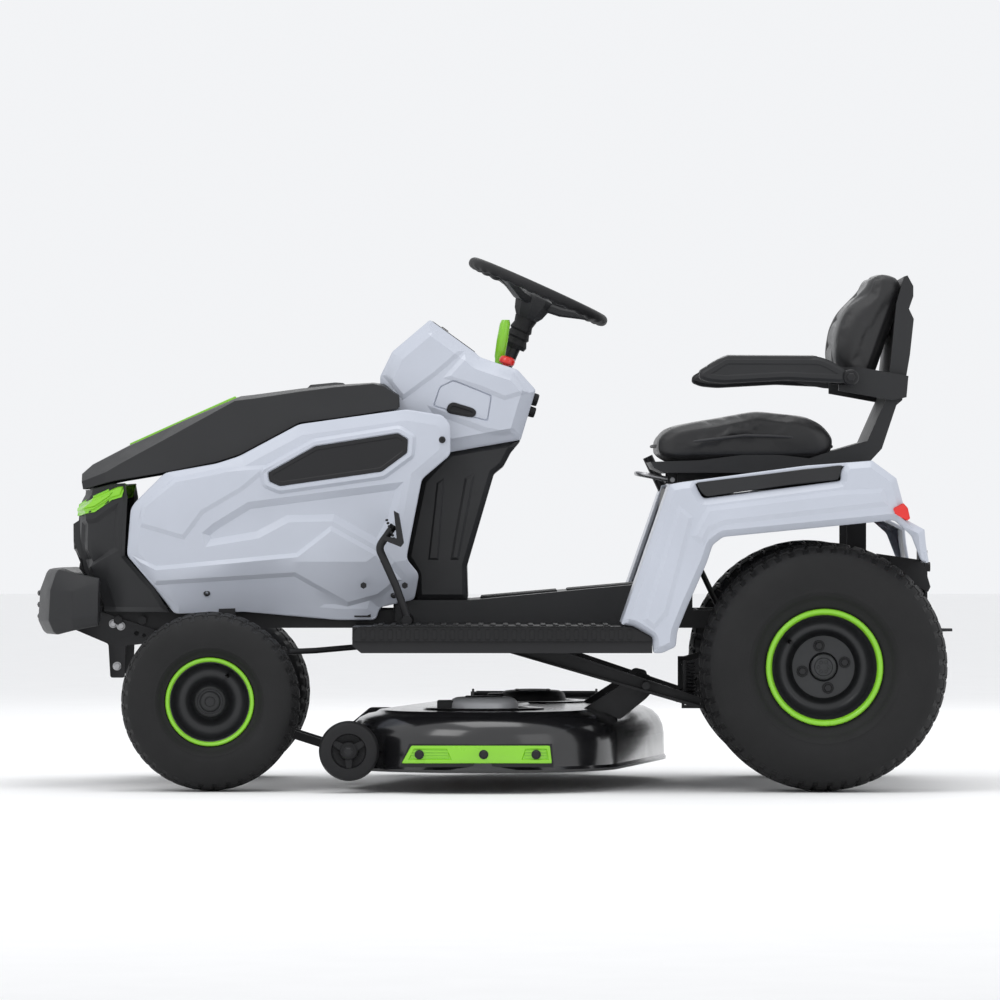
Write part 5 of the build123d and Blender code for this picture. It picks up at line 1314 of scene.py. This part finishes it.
# ---------------------------------------------------------------- controls
def steering_wheel():
    """The wheel: a scalloped grip, three dished spokes and a faceted hub pad."""
    tilt = radians(24.3)
    normal = Vector((sin(tilt), 0, cos(tilt)))
    ahead = Vector((-cos(tilt), 0, sin(tilt)))
    across = Vector((0, 1, 0))
    centre = at(91, 0, 1031)
    rows = []
    for step in range(180):
        turn = 2 * pi * step / 180
        out = ahead * cos(turn) + across * sin(turn)
        wavy = 1.3 * cos(turn * 30)
        row = []
        for k in range(20):
            angle = 2 * pi * k / 20
            under = max(0, -sin(angle))
            reach = 12.4 + 0.8 * cos(2 * angle) + wavy * under
            row.append(centre + (out * (145 + reach * cos(angle)) + normal * reach * sin(angle)) * MM)
        rows.append(row)
    piece("wheel_grip", close_rows(rows), "rubber", "steering", ("steering_wheel",), angle=60)
    parts = [loft(turned(centre, normal,
                         [(-62, 24), (-50, 33), (-30, 40), (-20, 42), (-12, 40), (-8, 34), (-7, 1)], 10)),
             loft(turned(centre, normal, [(-12, 30), (-5, 28.5), (-3.5, 26), (-3.5, 1)], 48))]
    for turn in (0, 125, 235):
        out = ahead * cos(radians(turn + 180)) + across * sin(radians(turn + 180))
        side = normal.cross(out)
        rows = []
        for reach, wide, height, deep in ((26, 19, -22, 12), (62, 15, -19, 11), (104, 12, -8, 9),
                                          (138, 15, -1, 7), (147, 16, 0, 6)):
            spot = centre + (out * reach + normal * height) * MM
            rows.append([spot + (side * a * wide + normal * b * deep) * MM for a, b in
                         ((-1, -0.6), (-1, 0.3), (-0.7, 0.7), (-0.3, 0.45), (0.3, 0.45), (0.7, 0.7),
                          (1, 0.3), (1, -0.6), (0.6, -1), (-0.6, -1))])
        parts.append(loft(rows))
    piece("wheel_spokes", join(*parts), "dark_plastic", "steering", angle=28)
    boot = [(-128, 24), (-120, 27), (-108, 22), (-104, 25), (-92, 21), (-88, 24), (-76, 20.5), (-62, 24)]
    piece("column_boot", loft(turned(centre, normal, boot, 48)), "rubber", "steering", angle=40)


def armrest(name, side):
    """A padded arm on its pivot bracket."""
    outline = [(420, 844), (421, 858), (474, 890), (665, 889), (686, 882), (722, 862), (722, 834),
               (600, 840), (474, 833), (440, 836)]
    shape = rounded(outline, 9, 4)
    lifts = [(inset(shape, 0.5), 5, 7), (rounded(inset(outline, 15), 6, 3), -1.5, 3)]
    parts = []
    for face, out in ((side * 301, side), (side * 251, -side)):
        parts.append(panel(shape, lambda u, v, h: at(u, face - out * 5 + out * h, v), 8, lifts, spacing=30,
                           lip=1.5))
    inner = inset(shape, 4)
    low, high = side * 255, side * 297
    parts.append(close_rows([[at(p.x, y, p.y) for p in line] for y,
                             line in ((low, shape), (high, shape), (high, inner), (low, inner))]))
    piece(f"armrest_body_{name}", join(*parts), "dark_plastic", f"armrest_{name}", (f"armrest_{name}",),
          angle=20)
    pad = rounded([(436, -20), (452, -24), (650, -24), (664, -18), (664, 18), (650, 24), (452, 24),
                   (436, 20)], 10, 4)
    top = lambda u: interpolate(u, (420, 862), (474, 891), (665, 890), (686, 884))
    made = panel(pad, lambda u, v, h: at(u, side * 276 + v, top(u) + h), 7, [(inset(pad, 2), 1.5, 9)],
                 spacing=12, lip=2.5)
    cover = piece(f"armrest_pad_{name}", made, "vinyl", f"armrest_{name}", angle=40)
    pivot = at(732, side * 302, 846)
    parts = [loft(turned(at(732, side * 216, 846), (0, side, 0), [(0, 12), (36, 12), (36, 1)], 40)),
             bolt(pivot, (0, side, 0), 16, 7, 12)]
    arm = [(640, 862), (690, 866), (744, 858), (748, 838), (738, 830), (700, 832), (640, 844)]
    parts.append(slab(rounded(arm, 7, 4), along_y, *sorted((side * 243, side * 250))))
    parts.append(loft(turned(at(732, side * 248, 846), (0, side, 0), [(0, 17), (50, 17), (54, 14), (54, 1)],
                             40)))
    piece(f"armrest_pivot_{name}", join(*parts), "black_steel", f"armrest_{name}", angle=30)


def pedal_pads():
    """The brake pedal's rubber ribs and its paint."""
    ribs = []
    for row in range(7):
        share = (row + 0.5) / 7
        x = -222 + 17 * share
        z = 556 - 44 * share
        ribs.append(tube([at(x, -382, z), at(x, -303, z)], 2.6, 12))
    piece("brake_pad_ribs", join(*ribs), "rubber", "brake_pedal", angle=60)
    for material_slot in nodes["brake_pedal"].material_slots:
        material_slot.material = MATERIALS["black_steel"]


def lift_spring(name, side):
    """The coil that steadies each lift link."""
    points = []
    turns, low, high = 9, 190, 258
    for step in range(turns * 16 + 1):
        turn = 2 * pi * step / 16
        share = step / (turns * 16)
        points.append(at(404 + 8.5 * cos(turn), side * 232 + 8.5 * sin(turn) * 0.9,
                         low + (high - low) * share))
    piece(f"lift_spring_{name}", tube(points, 1.8, 8), "black_steel", "lift_links", angle=60)


def knob_and_lever():
    """The mushroom blade switch and the parking brake's grip."""
    axis = Vector((0.3, 0, 0.954)).normalized()
    foot = at(22, -90, 871.6)
    cap = [(-14, 7), (4, 7), (5, 13), (8, 16.5), (15, 16.8), (20, 14), (22, 9), (22.4, 1)]
    piece("blade_knob", loft(turned(foot, axis, cap, 48)), "red_plastic", "blade_switch", ("blade_switch",),
          angle=35)
    grip = []
    for offset, wide, deep in ((0, 6, 8), (10, 6, 9), (16, 9, 11), (50, 10.5, 12), (84, 10.5, 11),
                               (92, 8, 8)):
        spot = at(8 + 0.16 * offset, -60, 878 + offset)
        grip.append([spot + Vector((deep * cos(2 * pi * k / 16), wide * sin(2 * pi * k / 16), 0)) * MM
                     for k in range(16)])
    lever = join(loft(grip), tube([at(6, -60, 858), at(8, -60, 884)], 5),
                 tube([at(6, -73, 858), at(6, -47, 858)], 6))
    piece("brake_grip", lever, "green_paint", "brake_lever", ("brake_lever",), angle=35)


steering_wheel()
for name, side in SIDES:
    armrest(name, side)
    lift_spring(name, side)
pedal_pads()
knob_and_lever()


# ---------------------------------------------------------------- frame nodes that keep their shape

def dress_kept_nodes():
    """Every CAD node that still shows gets its slot's finish, and the bolts dark paint."""
    for name, obj in nodes.items():
        if obj.hide_render:
            continue
        for slot in obj.material_slots:
            found = slot.material.name.split(".")[0] if slot.material else ""
            found = "black_steel" if name == "fasteners" else found
            slot.material = MATERIALS.get(found, MATERIALS["black_steel"])


place_camera()
set_stage()
dress_kept_nodes()
